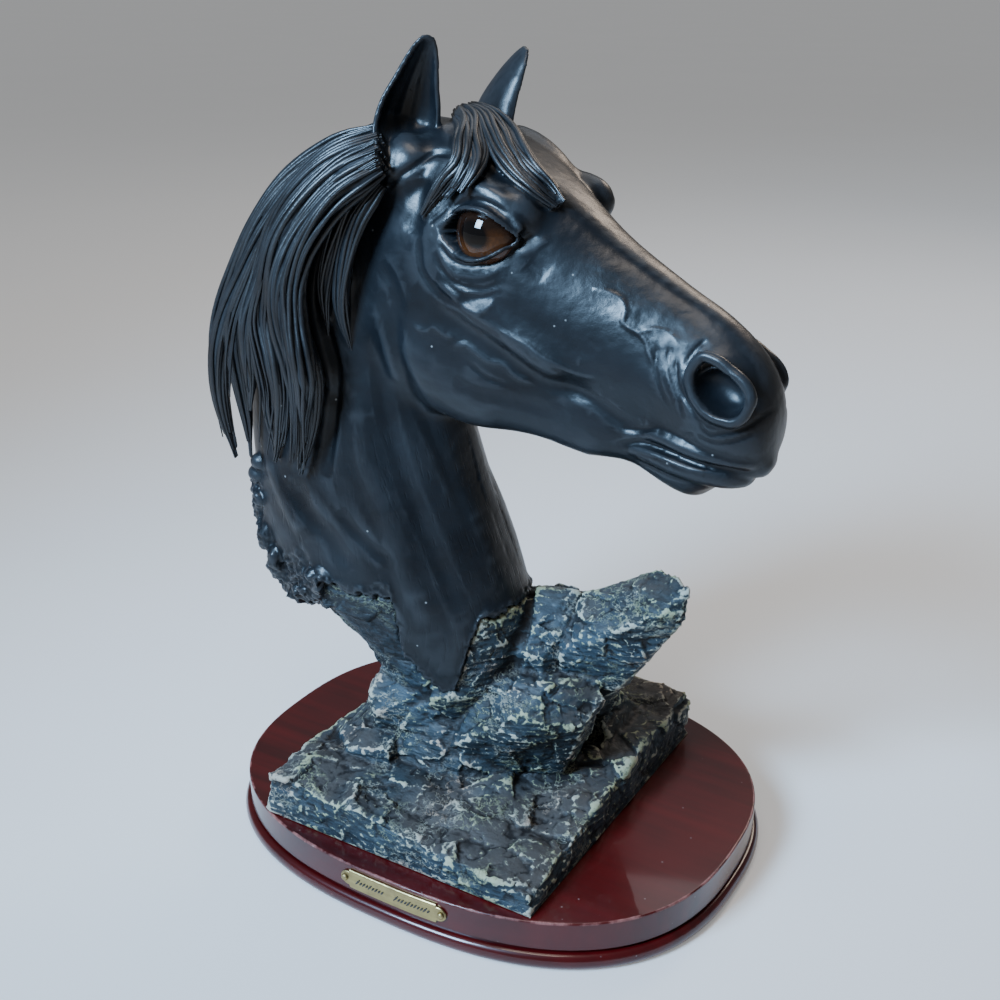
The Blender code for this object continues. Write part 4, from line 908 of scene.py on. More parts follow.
def ear(side):
    """A leaf-shaped ear, open forwards and outwards, with a rolled rim and hair grooves inside."""
    foot = HEAD.point(*EAR_FEET[side])
    tip = HEAD.point(*EAR_TIPS[side])
    lean = NECK_SIDE * side
    rise = (tip - foot) / np.linalg.norm(tip - foot)
    mouth = HEAD_AHEAD * 0.72 + lean * 0.69
    mouth -= rise * (mouth @ rise)
    mouth /= np.linalg.norm(mouth)
    across = np.cross(rise, mouth)
    rings = []
    for h in np.linspace(-0.25, 1, 60):
        k = max(h, 0.0)
        wide, deep = EAR_WIDTH(k) * EAR_SPREAD[side], EAR_DEPTH(k)
        wall = 2.3 - 0.3 * k
        hollow = min(max((h - 0.02) / 0.25, 0.0), 1.0)
        turn = np.linspace(0, math.pi, 33)
        back = np.stack([wide * np.cos(turn), -deep * np.sin(turn)], 1)
        groove = 0.55 * hollow * np.cos(turn[::-1] * 11) * np.sin(turn[::-1])
        depth = (deep - wall) * hollow - 3.0 * (1 - hollow) + groove
        front = np.stack([max(wide - wall, 0.3) * np.cos(turn[::-1]), -depth * np.sin(turn[::-1])], 1)
        bow = 3.0 * math.sin(math.pi * min(max(h, 0), 1))
        centre = foot + (tip - foot) * h + mouth * (deep * 0.35 - bow)
        section = np.concatenate([back, front])
        rings.append(centre + section[:, :1] * across + section[:, 1:] * mouth)
    return loft(rings)


NOSTRIL_OUT = {-1: 21.5, 1: 14.5}
NOSTRIL_ALONG = {-1: 154.5, 1: 151.5}
NOSTRIL_DOWN = 15.5
NOSTRIL_RIM = ((-12.8, -7.1), (-13.6, -2.2), (-12.5, 3.3), (-8.5, 7), (-2.3, 9.7), (3.2, 10), (8.5, 8.1), (12.1, 6),
               (13.7, 2.4), (13.3, -1.9), (12.2, -5.9), (9.2, -8.2), (4.7, -9.3), (-1.1, -9.2), (-6.2, -9.1),
               (-12.8, -7.1))


def nostril_rims():
    forms = []
    for side in (-1, 1):
        rim = path(NOSTRIL_RIM, 61)
        out = NOSTRIL_OUT[side] - 0.05 * rim[:, 0]
        points = HEAD.point(NOSTRIL_ALONG[side] + rim[:, 0], NOSTRIL_DOWN + rim[:, 1], side * out)
        forms.append(tube(points, np.full(61, 2.5), HEAD.axes[2] * side))
    return forms


# The line where the lips meet: (along, down, half width)
MOUTH = ((134, 64, 10), (139, 58.5, 12), (146, 54.5, 13.5), (154, 51, 14.5), (163, 47.5, 14), (170, 44, 12),
         (177, 40.5, 7), (180, 38.5, 0))


def lips():
    line = [(t, d, -s) for t, d, s in MOUTH] + [(t, d, s) for t, d, s in reversed(MOUTH[:-1])]
    mouth = path(line, 61)
    lower = HEAD.point(mouth[:, 0] - 3, mouth[:, 1] + 6.5, mouth[:, 2] * 0.85)
    upper = HEAD.point(mouth[:, 0], mouth[:, 1] - 4.5, mouth[:, 2])
    return [tube(lower, swell(61, 5.6, 2.5)), tube(upper, swell(61, 4.4, 2.5))]


# The torn edge's line, and the lumps along it: how many, and their share of the full size
TORN_LINE = ((-132, 156), (-133, 140), (-131, 122), (-124, 106), (-117, 89), (-105, 93), (-92, 107))

TORN_LUMPS = ((70, 1.0), (210, 0.5))


def neck_half_width(u, z):
    """Half the neck's thickness at a place on its side, a little inside the skin."""
    middle, half = (NECK_FRONT(z) + NECK_BACK(z)) / 2, (NECK_FRONT(z) - NECK_BACK(z)) / 2
    return max(14.0, 0.88 * NECK_WIDTH(z) * max(0.0, 1 - ((u - middle) / half) ** 2) ** 0.45)


def torn_edge():
    """Rough lumps along the broken back edge of the neck, across its whole thickness."""
    rng = np.random.default_rng(11)
    forms = []
    for count, bulk in TORN_LUMPS:
        for k, (u, z) in enumerate(path(TORN_LINE, count)):
            across = (k * 0.618 % 1.0) * 2 - 1
            size = bulk * (rng.uniform(5.5, 8.0) if k < 0.5 * count else rng.uniform(7.0, 11.5))
            inward = size * (0.9 if bulk == 1 else 1.3) + 9 * across ** 2 - (bulk < 1) * rng.uniform(0.0, 2.5)
            sizes = size * rng.uniform(0.7, 1.1, 3)
            side = across * neck_half_width(u + inward, z + inward * 0.3)
            forms.append(ellipsoid(NECK.point(u + inward, z + inward * 0.3, side), sizes, detail=2))
    return forms


# Hair: lines down the near side of the mane, from its crest to its free front edge
MANE_GUIDES = (
    ((-50, 319, -8), (-72, 311, -9), (-94.5, 296, -10), (-110, 276, -11), (-122, 254, -12), (-132, 233, -12),
     (-136, 215, -13), (-138, 198, -14), (-137, 182, -15), (-134, 165, -16)),
    ((-46, 319, -18), (-64, 310, -21), (-82, 295, -23), (-98, 275, -25), (-110, 253, -26), (-121, 230, -27),
     (-126, 210, -28), (-127, 194, -28), (-126, 180, -27), (-123, 165, -27)),
    ((-42, 317, -26), (-57, 309, -30), (-74, 294, -33), (-87, 276, -35), (-94, 256, -36), (-100, 237, -36),
     (-98, 224, -37), (-96, 207, -37), (-99, 190, -36), (-104, 168, -34)),
    ((-40, 313, -29), (-55, 304, -33), (-69, 290, -37), (-79, 274, -39), (-84, 257, -40), (-85, 240, -40),
     (-82, 224, -41), (-81, 208, -41), (-83, 191, -40), (-88, 172, -37)),
    ((-39, 307, -30), (-54, 297, -35), (-66, 284, -39), (-75, 270, -42), (-79, 257, -43), (-78, 241, -43),
     (-74, 227, -44), (-72, 216, -44), (-74, 196, -43), (-78, 160, -38)),
)
STRIP_GUIDES = (
    ((-42, 306, -29), (-54, 293, -32), (-63, 275, -33), (-69, 255, -32), (-70, 232, -30)),
    ((-40, 300, -30), (-50, 286, -33), (-58, 266, -33), (-61, 246, -32), (-59, 226, -29)),
)
NEAR_LOCKS = 11
FAR_LOCKS = 6
LOCK_RADIUS = 5.6
STRIP_RADIUS = 3.6


def mane_line(f):
    """The line at f across the mane, from its crest at 0 to its front edge at 1."""
    guides = np.array([path(g, 28) for g in MANE_GUIDES])
    low = min(int(f * (len(guides) - 1)), len(guides) - 2)
    rest = f * (len(guides) - 1) - low
    return guides[low] * (1 - rest) + guides[low + 1] * rest


def wavy(points, wave):
    """A lock's line with the bends of its own."""
    along = np.linspace(0, 1, len(points))
    points = points.copy()
    points[:, 0] += 3.2 * np.sin(2 * math.pi * (1.3 * along + wave)) * along
    points[:, 2] += 1.5 * np.sin(2 * math.pi * (2 * along + 2.3 * wave))
    return points


def lock(points, reach, lift, radius, side):
    """A lock's middle line, its radii and the way it faces."""
    points = points[: max(4, int(len(points) * reach))].copy()
    points[:, 2] -= lift
    radii = radius * np.clip(3.4 * np.linspace(1, 0, len(points)), 0.1, 1) ** 0.75
    radii[:3] *= (0.6, 0.8, 0.95)
    return NECK.point(points[:, 0], points[:, 1], points[:, 2] * -side), radii, NECK_SIDE * side


def mane_locks():
    locks = []
    for k in range(NEAR_LOCKS):
        reach = 1.0 - 0.12 * (k % 3 == 1)
        locks.append(lock(wavy(mane_line(k / (NEAR_LOCKS - 1)), 0.37 * k), reach, 2.0 * (-1) ** k, LOCK_RADIUS, -1))
    for k in range(FAR_LOCKS):
        line = wavy(mane_line((k + 0.5) / FAR_LOCKS), 0.29 * k + 0.2)
        locks.append(lock(line, 0.95 - 0.14 * (k % 2), (-1) ** k, LOCK_RADIUS * 1.1, 1))
    return locks


def strip_locks():
    return [lock(path(g, 20), 1.0, 0.0, STRIP_RADIUS, side) for side in (-1, 1) for g in STRIP_GUIDES]


# Locks of the forelock in the head's frame: three fall to the near eye, three run ahead
FORELOCK = (
    ((-16, 9, -4), (-4, 6.5, -14), (5, 9, -25), (12, 15, -31), (11, 24, -33.5), (10.5, 33, -35), (10.5, 42, -35.5)),
    ((-16, 8.5, -3), (-4, 5.5, -12), (7, 6.5, -22.5), (15, 11, -29.5), (18, 18, -34), (17, 27, -36)),
    ((-16, 8, -2), (-4, 4.5, -10), (8, 5.5, -20.5), (17, 8, -27), (22, 11, -33.5), (23.5, 20, -38)),
    ((-16, 8, -1), (-3, 2.5, -7), (10, 2, -15.5), (22, 4, -21), (34, 5, -24), (45, 5, -24), (54, 6, -19)),
    ((-16, 7, 1), (-3, 2, -4), (11, 1, -11), (23, 2.5, -17.5), (34, 3.5, -20.5), (44, 3.5, -20), (51, 4, -17)),
    ((-16, 7, 4), (-2, 2, 0), (12, 0, -6.5), (24, 0.5, -13), (36, 1, -16.5), (46, 1.5, -15.5), (55, 3, -16.5)),
)
FORELOCK_RADIUS = 3.3
FORELOCK_LIFT = 1.4


def forelock_locks():
    locks = []
    for line in FORELOCK:
        points = path(line, 28)
        radii = FORELOCK_RADIUS * np.clip(2.6 * np.linspace(1, 0, 28), 0.25, 1) ** 0.7
        out = np.array([0.0, -1.0, points[-1][2] / 45.0])
        out = HEAD.axes.T @ (out / np.linalg.norm(out))
        locks.append((HEAD.point(points[:, 0], points[:, 1], points[:, 2]) + FORELOCK_LIFT * out, radii, out))
    return locks


def stroke(flat, seen, marks, radius, height):
    """How far each seen point moves along its normal for one line of marks."""
    marks = path(marks, max(12, 4 * len(marks)))
    move = np.zeros(len(flat))
    low, high = marks.min(0) - radius, marks.max(0) + radius
    near = np.flatnonzero(seen & (flat > low).all(1) & (flat < high).all(1))
    if len(near) == 0:
        return move
    start, run = marks[:-1], np.diff(marks, axis=0)
    best = np.full(len(near), 1e9)
    where = np.zeros(len(near))
    for k in range(len(run)):
        offset = flat[near] - start[k]
        f = np.clip(offset @ run[k] / (run[k] @ run[k] + 1e-9), 0, 1)
        gap = np.linalg.norm(offset - f[:, None] * run[k], axis=1)
        closer = gap < best
        best[closer] = gap[closer]
        where[closer] = (k + f[closer]) / len(run)
    fade = np.clip(np.minimum(where, 1 - where) * 6 + 0.15, 0, 1)
    move[near] = height * np.clip(1 - (best / radius) ** 2, 0, 1) ** 2 * fade
    return move


# Lines on each side of the face: (along, down) marks, then radius and height. The heights are taken
# down together by the first value, and only points that face sideways by the second take a line.
LINE_DEPTH = 0.58
SIDE_FACING = 0.12
BROAD_LINES = (
    (((32, 56.4), (50, 57), (64, 56), (79, 54), (97, 52), (113, 46)), 11, 3.0),
    (((38, 67), (58, 66.5), (78, 64), (97, 60), (114, 54)), 8, -2.6),
    (((14, 47), (24, 58), (42, 59), (56, 47)), 3.5, -1.2),
    (((-2, 30), (6, 38), (10, 50)), 8, -2.5),
    (((-40, 60), (-37, 81), (-27, 104), (-15, 121), (0, 133), (18, 139)), 4.5, -3.4),
    (((-33, 62), (-29, 80), (-19, 100), (-9, 114), (4, 125), (20, 130)), 5, 1.6),
    (((108, 10), (106, 18), (118, 19), (138, 8)), 4.5, 0.5),
    (((132, 66), (139, 58.5), (146, 54.5), (154, 51), (163, 47.5), (170, 44), (177, 40.5), (182, 36)), 2.4, -2.2),
    (((100, 62), (112, 58), (126, 57), (140, 54)), 5, -1.4),
    (((60, 26), (70, 26)), 6, -1.2),
)
FINE_LINES = (
    # Ridge of the cheekbone
    (((32, 56.4), (41.6, 56.7), (50, 57), (64, 56), (71, 55.5), (79, 54), (88.5, 54.2), (97, 52), (104, 49.6),
      (113.5, 44)), 2.4, 0.9),
    # Folds above, below and before the eye
    (((20.2, 32.9), (25.6, 20.8), (32.3, 16.2), (37.6, 14.8), (45.3, 14.0)), 2.2, -1.5),
    (((18, 26), (24, 15.5), (32, 11.2), (42, 10.5)), 2.6, 0.8),
    (((25.5, 43), (33, 44.6), (41, 41.8), (48, 35.5), (52, 29)), 1.7, -1.1),
    (((26, 45.5), (35, 48.5), (44, 45.5), (50.5, 39.6), (54.5, 31)), 1.8, 0.5),
    (((27, 49), (36, 51.6), (46, 49.5), (53, 44.5), (57, 38)), 1.8, -0.8),
    (((33, 53.5), (44, 53.4), (53, 49.8), (58.5, 42)), 1.7, -0.6),
    (((51, 25), (54, 20), (55.5, 15.5)), 2.6, -1.6),
    (((56, 26), (59, 20), (60, 15)), 2.4, 0.8),
    (((15, 40), (17.5, 33), (19, 27)), 1.8, -0.9),
    # Fold at the foot of the ear
    (((-11.4, 43), (-9.3, 37), (-5.9, 28), (-2.6, 18.5), (4.2, 14.5)), 2.4, -1.4),
    # Tendon, veins of the cheek and face
    (((52.8, 56.7), (56.2, 54.1), (58.1, 49.3), (58.6, 47.2)), 1.9, 0.9),
    (((31, 82), (37.5, 80), (40, 75.8), (44.3, 75.5), (50.2, 73.7)), 1.9, 0.8),
    (((50.8, 77.8), (56, 73.3), (60, 73), (67, 73), (74.6, 70), (79.3, 71), (88, 69)), 2.0, 0.9),
    (((60, 79), (70, 80), (79, 77)), 1.8, -0.7),
    (((88, 19), (95.5, 16.3), (100.8, 16.3), (104.2, 19.3), (105.3, 21.7), (109, 21.9), (113, 21.2), (117.8, 21.7),
      (121.8, 24.3), (130, 27)), 1.6, 0.7),
    (((113, 21.2), (117, 16.5), (122, 14), (126, 14), (130, 15.3)), 1.5, 0.5),
    # Wrinkles round the nostril and the lips
    (((131.5, 18), (135, 22), (141.5, 26.6), (149, 28.5), (154, 30)), 1.6, -1.3),
    (((126.7, 16.4), (131, 22), (138, 27), (144, 30.4), (149, 34)), 1.6, -1.1),
    (((129, 19.5), (133, 24.6), (140, 29), (146, 32)), 1.5, 0.8),
    (((136, 7), (135.6, 12), (136.8, 18)), 1.6, -1.0),
    (((122, 19), (127, 26), (134, 31.5), (141, 35)), 1.6, -0.7),
    (((156, 31.4), (160.6, 32.4), (166.5, 27.5), (171, 20.6), (172.4, 13)), 1.5, -1.1),
    (((158, 36), (163.6, 34.6), (169.9, 29.2), (173.8, 22.6)), 1.5, -0.8),
    (((139, 62.5), (147, 57.6), (156, 53.8), (164.7, 50.2), (172, 46)), 1.5, 0.9),
    (((140, 68), (148, 64), (157, 60.5), (166, 56)), 1.8, -0.7),
    (((144, 50), (142, 46), (143, 41)), 1.3, -0.3),
    (((149, 48), (147.5, 43), (149, 38)), 1.3, -0.3),
    (((155, 46), (154, 41), (156, 37)), 1.3, -0.25),
    (((137, 53), (134, 49), (134, 44)), 1.4, -0.3),
    (((129, 60), (134, 56), (140, 50)), 1.8, -0.8),
    # Muscles of the cheek and jaw
    (((2, 70), (14, 74), (24, 84), (30, 97)), 5.5, -0.9),
    (((-18, 74), (-12, 90), (0, 104), (16, 112)), 5, -0.8),
    (((58, 92), (74, 87), (90, 79), (104, 73)), 5, -0.9),
)
# Lines on the side of the neck: (along, up) marks
NECK_LINES = (
    (((-40, 250), (-34, 225), (-26, 200), (-14, 172), (-4, 148)), 7, -1.6),
    (((-58, 214), (-52, 180), (-40, 150), (-30, 122), (-20, 96)), 9, 1.5),
    (((-46, 238), (-44, 205), (-34, 170), (-18, 132), (-6, 104)), 6, -1.3),
    (((-92, 160), (-84, 146), (-70, 134), (-60, 120)), 8, -1.2),
    (((-112, 166), (-100, 148), (-86, 132)), 7, 1.0),
    (((-30, 216), (-16, 178), (-2, 140), (8, 112)), 4, 0.9),
    (((-66, 150), (-56, 140), (-40, 128)), 5, -0.8),
)
# The front edge of the mane, undercut where it lies over the neck
MANE_SHADE = (((-47, 301), (-62, 282), (-71, 262), (-73, 244), (-69, 228), (-66, 214), (-68, 196), (-72, 168)),
              4.5, -3.0)


def eye_opening(head, side):
    """How far points between the lids sink, so that the eye shows."""
    t, d = head[:, 0] - EYE_PLACE[0], head[:, 1] - EYE_PLACE[1]
    run = t * math.cos(LID_TURN) + d * math.sin(LID_TURN)
    drop = -t * math.sin(LID_TURN) + d * math.cos(LID_TURN)
    upper, lower = smooth_line(*UPPER_LID)(run), smooth_line(*LOWER_LID)(run)
    within = np.clip(np.minimum(drop - upper, lower - drop) / 1.2 + 0.3, 0, 1) * (np.abs(run) < 18)
    rise = np.sqrt(np.maximum((EYE_DIAMETER / 2) ** 2 - run ** 2 - drop ** 2, 4.0))
    above = head[:, 2] * side - (EYE_OUT + rise - 2.0)
    return np.maximum(above, 0) * within * (head[:, 2] * side > 0)


def hollow(points, centre, radii, axes, depth):
    """Presses a round hollow: the push of the points inside an ellipsoid."""
    local = (points - centre) @ np.array(axes).T / np.array(radii)
    inside = np.clip(1 - (local ** 2).sum(1), 0, 1)
    return depth * inside ** 0.6


def carve(item):
    points, normals = arrays(item)
    head, neck = HEAD.local(points), NECK.local(points)
    faced, neck_faced = normals @ HEAD.axes.T, normals @ NECK.axes.T
    move = np.zeros(len(points))
    push = np.zeros((len(points), 3))
    for side in (-1, 1):
        seen = (faced[:, 2] * side > SIDE_FACING) & (head[:, 2] * side > 0)
        for marks, radius, height in BROAD_LINES + FINE_LINES:
            move += stroke(head[:, :2], seen, marks, radius, LINE_DEPTH * height)
        seen = (neck_faced[:, 2] * side > SIDE_FACING) & (neck[:, 2] * side > 0)
        for marks, radius, height in NECK_LINES + (MANE_SHADE,):
            move += stroke(neck[:, :2], seen, marks, radius, height)
        middle = HEAD.point(NOSTRIL_ALONG[side] + 1, NOSTRIL_DOWN + 0.5, side * (NOSTRIL_OUT[side] + 2.5))
        pressed = hollow(points, middle, (11.5, 8.2, 14), HEAD.axes, 11.0)
        pressed += eye_opening(head, side)
        push -= HEAD.axes[2] * side * pressed[:, None]
    # The torn edge and the rim over the rocks
    gap = np.min(np.linalg.norm(neck[:, None, :2] - path(TORN_LINE, 24)[None, :, :], axis=2), axis=1)
    torn = np.clip(1 - (gap - 10) / 8, 0, 1) * (neck[:, 1] < 168)
    low = neck[:, 1] < 150
    below, rough = np.zeros(len(points)), np.zeros(len(points))
    below[low] = below_skin_edge(points[low])
    below *= torn < 0.35
    rough[low] = noisy(points[low], 0.16, 1.0, 3)
    lip = np.clip(1 - np.abs(neck[:, 1] - SKIN_EDGE(neck[:, 0]) - 2.5) / 4, 0, 1) * low
    move += 2.6 * torn * rough + lip * (1.0 + 1.6 * rough)
    move -= TUCK * below
    moved(item, points + normals * move[:, None] + push)


locks = mane_locks() + strip_locks()
locks_ahead = forelock_locks()
forms = [flesh()] + eyelids() + [ear(-1), ear(1)] + nostril_rims() + lips() + torn_edge()
forms += [tube(path(middle, 60), np.interp(np.linspace(0, 1, 60), np.linspace(0, 1, len(radii)), radii), out)
          for middle, radii, out in locks]
forms += [tube(*given) for given in locks_ahead]
horse = fused("horse", forms, SKIN_VOXEL, 2)
carve(horse)
fewer_faces(horse, HORSE_TRIANGLES)
neck = NECK.local(arrays(horse)[0])
store(horse, "neck", np.clip((197 - neck[:, 1]) / 14, 0, 1))
fine = relief(horse, 3)
store(horse, "ridge", np.clip(fine / 0.10, -1, 1))

black, tree, shader = material("satin black paint", (0.012, 0.013, 0.016), 0.34)
place = on_object(tree)
patches = mottle(tree, place, 26.0, 4.0)
grain = mottle(tree, place, 420.0, 3.0)
paint = blend(tree, ramp(tree, patches, 0.35, 0.68), (0.0035, 0.0045, 0.0060), (0.0095, 0.0115, 0.0145))
paint = blend(tree, ramp(tree, kept(tree, "ridge"), 0.25, 0.9, 0.0, 0.4), paint, (0.035, 0.037, 0.041))
dust = specks(tree, 0.0048, 0.07)
paint = blend(tree, times(tree, dust, 0.55), paint, (0.34, 0.34, 0.33))
put(tree, shader.inputs["Base Color"], paint)
put(tree, shader.inputs["Roughness"], ramp(tree, patches, 0.3, 0.7, 0.27, 0.38))
shader.inputs["IOR"].default_value = PAINT_IOR
scratches = mottle(tree, on_object(tree, (260, 900, 90), (0.0, 0.7, 0.2)), 1.0, 2.0, 0.4)
scratches = times(tree, ramp(tree, scratches, 0.60, 0.72), kept(tree, "neck"))
waves = mottle(tree, place, 75.0, 2.0)
height = maths(tree, "ADD", times(tree, grain, 0.12), times(tree, waves, 0.9))
height = maths(tree, "SUBTRACT", height, times(tree, scratches, 0.18))
bumped(tree, shader, height, 0.0009, 0.7)

in_metres(horse, black)
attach(horse, "root")
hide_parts("casting")

# Hair
# Fine strands combed into the clay over each lock of the mane and the forelock. They are part of
# the casting and carry the same black, rubbed a little lighter along their tops.

STRAND = 1.35


def strands(lock_middle, lock_radii, out, count, thick, rng, spread=84, points=46):
    """Strands side by side over the outer half of a lock, drawn together at its tip."""
    middle = path(lock_middle, points)
    along = np.linspace(0, 1, points)
    radii = np.interp(along, np.linspace(0, 1, len(lock_radii)), lock_radii)
    ahead = np.gradient(middle, axis=0)
    ahead /= np.linalg.norm(ahead, axis=1)[:, None]
    across = np.cross(ahead, out)
    across /= np.linalg.norm(across, axis=1)[:, None]
    lift = np.cross(across, ahead)
    made = []
    for k in range(count):
        place = (k + 0.5) / count * 2 - 1 + rng.uniform(-0.07, 0.07)
        bend = 0.17 * np.sin(2 * math.pi * (along * rng.uniform(0.7, 1.5) + rng.random()))
        turn = math.radians(spread) * (place + bend)
        reach = (radii + thick * rng.uniform(-0.35, 0.25))[:, None]
        line = middle + reach * (np.sin(turn)[:, None] * across + np.cos(turn)[:, None] * lift)
        width = thick * rng.uniform(0.8, 1.2) * np.clip(8 * along + 0.4, 0, 1) * np.clip(5 * (1 - along), 0.2, 1) ** 0.6
        last = points - int(rng.integers(0, 4))
        line = line + CASTING_FOOT
        made.append((line[:last] * MM, width[:last] * MM, rng.random()))
    return made


def crossing_strands(count, rng):
    """Loose strands that wander from lock to lock over the near side of the mane."""
    made = []
    for _ in range(count):
        start, shift = rng.uniform(0.02, 0.95), rng.uniform(-0.14, 0.14)
        along = np.linspace(0, 1, 28)
        lines = np.array([mane_line(min(max(start + shift * f, 0.0), 1.0))[k] for k, f in enumerate(along)])
        lines[:, 2] -= LOCK_RADIUS + 1.6 + 0.5 * np.sin(2 * math.pi * (along * 1.7 + rng.random()))
        lines = lines[: int(rng.integers(20, 28))]
        points = NECK.point(lines[:, 0], lines[:, 1], lines[:, 2]) + CASTING_FOOT
        width = 0.9 * np.sin(math.pi * np.linspace(0.04, 0.97, len(points))) ** 0.5
        made.append((path(points, 44) * MM, np.interp(np.linspace(0, 1, 44), np.linspace(0, 1, len(width)), width) * MM,
                     rng.random()))
    return made


rng = np.random.default_rng(5)
hair_lines = []
for middle, radii, out in locks[:NEAR_LOCKS + FAR_LOCKS]:
    hair_lines += strands(middle, radii, out, 7, STRAND, rng)
for middle, radii, out in locks[NEAR_LOCKS + FAR_LOCKS:]:
    hair_lines += strands(middle, radii, out, 6, STRAND * 0.7, rng)
for middle, radii, out in locks_ahead:
    hair_lines += strands(middle, radii, out, 5, STRAND * 0.85, rng, 88, 34)
hair_lines += crossing_strands(26, rng)

combed, tree, shader = material("black paint on hair", (0.012, 0.013, 0.016), 0.36)
place = on_object(tree)
patches = mottle(tree, place, 60.0, 4.0)
paint = blend(tree, ramp(tree, patches, 0.35, 0.68), (0.004, 0.0048, 0.0062), (0.010, 0.0115, 0.014))
paint = blend(tree, times(tree, kept(tree, "tone"), 0.5), paint, (0.020, 0.018, 0.017))
paint = blend(tree, times(tree, specks(tree, 0.0048, 0.06), 0.5), paint, (0.34, 0.34, 0.33))
put(tree, shader.inputs["Base Color"], paint)
put(tree, shader.inputs["Roughness"], ramp(tree, patches, 0.3, 0.7, 0.32, 0.46))
bumped(tree, shader, mottle(tree, place, 500.0, 3.0), 0.0003, 0.6)

hair = rods("hair", hair_lines, 6, 1.0, combed)
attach(hair, "root")
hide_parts("casting")

# Eyes
# Each eye is a brown glass half-round glued into its socket, with a dark pupil drawn out sideways
# behind the clear surface and amber light low at its front.

for name, side in (("eye_right", -1), ("eye_left", 1)):
    middle = HEAD.point(*EYE_PLACE, side * EYE_OUT) + CASTING_FOOT
    glass, tree, shader = material(name + " glass", (0.03, 0.012, 0.006), 0.03)
    here = node(tree, "ShaderNodeTexCoord").outputs["Object"]
    aim = node(tree, "ShaderNodeVectorMath", {0: here, 1: tuple(middle * MM)}, operation="SUBTRACT").outputs[0]
    parts = []
    for axis in (HEAD.axes[0], HEAD.axes[1]):
        dotted = node(tree, "ShaderNodeVectorMath", {0: aim, 1: tuple(axis * 1000)}, operation="DOT_PRODUCT")
        parts.append(dotted.outputs["Value"])
    run = maths(tree, "POWER", maths(tree, "DIVIDE", maths(tree, "SUBTRACT", parts[0], 0.5), 7.0), 2.0)
    drop = maths(tree, "POWER", maths(tree, "DIVIDE", maths(tree, "ADD", parts[1], 0.5), 5.2), 2.0)
    reach = maths(tree, "SQRT", maths(tree, "ADD", run, drop))
    streaks = mottle(tree, on_object(tree), 700.0, 3.0)
    # The amber low at the front of the eye is painted light, laid into the brown of the iris.
    iris_and_painted_glow = blend(tree, ramp(tree, maths(tree, "ADD", parts[1], parts[0]), -2.0, 9.0),
                 (0.010, 0.0040, 0.0022), (0.075, 0.024, 0.007))
    iris_and_painted_glow = blend(tree, ramp(tree, streaks, 0.35, 0.7, 0.0, 0.5), iris_and_painted_glow, (0.012, 0.005, 0.003))
    iris_and_painted_glow = blend(tree, ramp(tree, reach, 0.85, 1.15), (0.002, 0.0015, 0.0015), iris_and_painted_glow)
    iris_and_painted_glow = blend(tree, ramp(tree, reach, 1.75, 2.3), iris_and_painted_glow, (0.006, 0.004, 0.0035))
    put(tree, shader.inputs["Base Color"], iris_and_painted_glow)
    put(tree, shader.inputs["Roughness"], ramp(tree, streaks, 0.3, 0.7, 0.02, 0.06))
    shader.inputs["Coat Weight"].default_value = 0.35
    shader.inputs["IOR"].default_value = 1.33
    shader.inputs["Coat Roughness"].default_value = 0.01
    shape = bmesh.new()
    bmesh.ops.create_uvsphere(shape, u_segments=64, v_segments=40, radius=EYE_DIAMETER / 2)
    points = np.array([v.co for v in shape.verts]) @ HEAD.axes + middle
    faces = [tuple(v.index for v in f.verts) for f in shape.faces]
    shape.free()
    eye = piece(name + "_ball", points, faces, glass, 60)
    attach(eye, "root")
    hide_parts(name)

# Floor, light and camera
# A pale table top. Cool window light falls on the head in a beam from the left, warm light comes
# from a doorway in front and a lamp behind, and the ceiling lights the rest softly.

FLOOR_REACH = 30000

finish, tree, shader = material("pale floor", (0.8, 0.8, 0.79), 0.7)
soft = mottle(tree, on_object(tree), 3.0, 2.0)
put(tree, shader.inputs["Base Color"], blend(tree, soft, (0.60, 0.605, 0.61), (0.64, 0.645, 0.65)))
shader.inputs["Emission Color"].default_value = (1.0, 1.0, 1.0, 1.0)
shader.inputs["Emission Strength"].default_value = 0.24
corners = [(x * FLOOR_REACH, y * FLOOR_REACH, 0) for x, y in ((-1, -1), (1, -1), (1, 1), (-1, 1))]
floor = piece("floor", corners, [(0, 1, 2, 3)], finish)

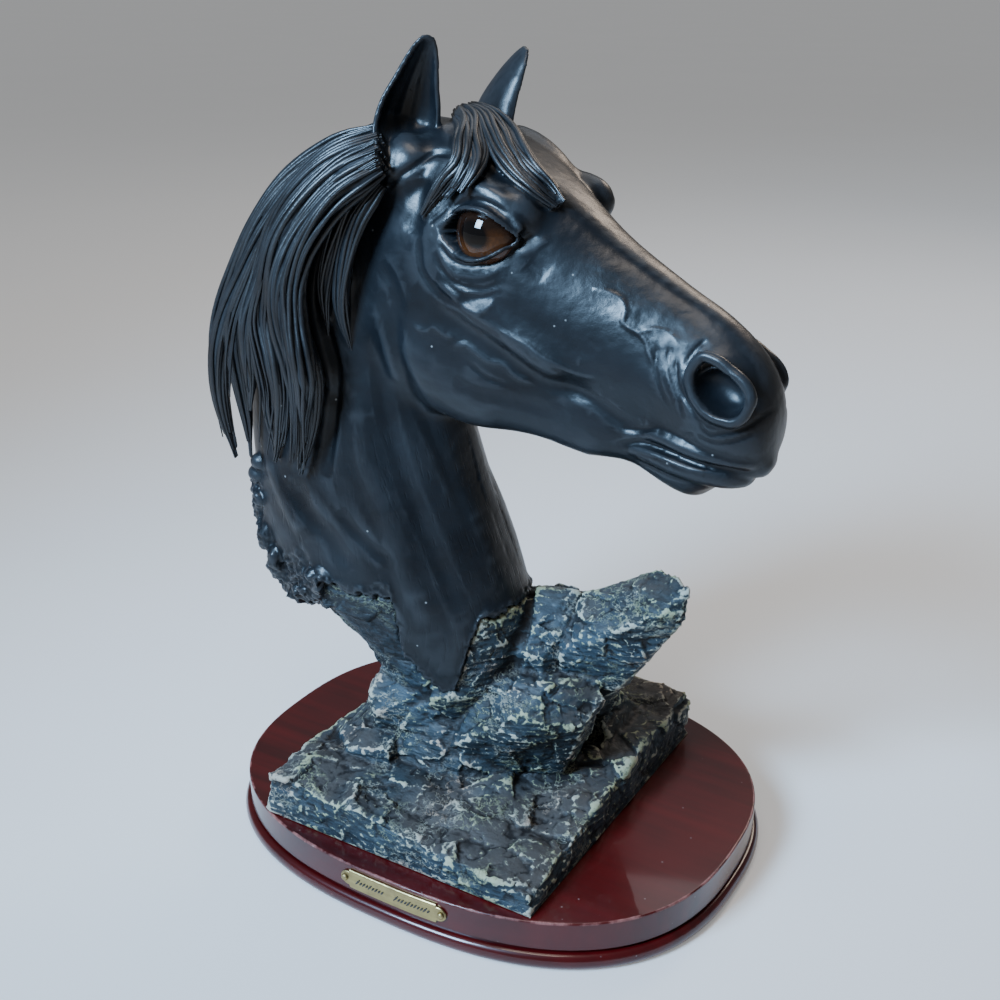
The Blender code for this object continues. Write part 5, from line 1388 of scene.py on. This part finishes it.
AZIMUTH = math.radians(31.24)
ELEVATION = math.radians(23.03)
CAMERA_DISTANCE = 0.6176
LENS_LENGTH = 46.8
WINDOW_BEAM = 62
WINDOW_AIM_RISE = 0.08
BACK = np.array([math.sin(AZIMUTH) * math.cos(ELEVATION), -math.cos(AZIMUTH) * math.cos(ELEVATION),
                 math.sin(ELEVATION)])
RIGHT = np.array([math.cos(AZIMUTH), math.sin(AZIMUTH), 0.0])
ABOVE = np.cross(BACK, RIGHT)
AIM = (1.02 * RIGHT + np.array([0, 0, 174.92])) * MM


def facing(item, place, target):
    """Puts a lamp or a camera at a place, turned to a target."""
    turn = (Vector(place) - Vector(target)).to_track_quat("Z", "Y")
    item.matrix_world = Matrix.Translation(place) @ turn.to_matrix().to_4x4()


def lamp(name, right, up, back, distance, size, power, colour, spread=180, aim=AIM):
    light = bpy.data.lights.new(name, "AREA")
    light.shape = "RECTANGLE"
    light.size, light.size_y = size
    light.energy = power
    light.color = colour
    light.spread = math.radians(spread)
    item = bpy.data.objects.new(name, light)
    bpy.context.collection.objects.link(item)
    way = right * RIGHT + up * ABOVE + back * BACK
    facing(item, aim + way / np.linalg.norm(way) * distance, aim)


lamp("window", -0.64, 0.28, 0.70, 1.25, (0.42, 0.48), 7.8, (0.42, 0.68, 1.0), WINDOW_BEAM,
     AIM + WINDOW_AIM_RISE * ABOVE)
lamp("doorway", -0.13, 0.75, 0.63, 1.5, (0.5, 0.5), 7, (1.0, 0.88, 0.76))
lamp("ceiling", 0.10, 0.93, -0.20, 1.9, (1.5, 1.2), 9, (0.95, 0.97, 1.0))
lamp("warm lamp", 0.52, 0.76, -0.42, 1.5, (0.35, 0.35), 4, (1.0, 0.82, 0.66))

world = bpy.data.worlds.new("pale room")
world.use_nodes = True
world.node_tree.nodes["Background"].inputs["Color"].default_value = (0.93, 0.96, 1.0, 1.0)
world.node_tree.nodes["Background"].inputs["Strength"].default_value = 0.16
bpy.context.scene.world = world

lens = bpy.data.cameras.new("camera")
lens.lens = LENS_LENGTH
lens.sensor_width = 36.0
lens.clip_start = 0.01
camera = bpy.data.objects.new("camera", lens)
bpy.context.collection.objects.link(camera)
facing(camera, AIM + BACK * CAMERA_DISTANCE, AIM)
bpy.context.scene.camera = camera
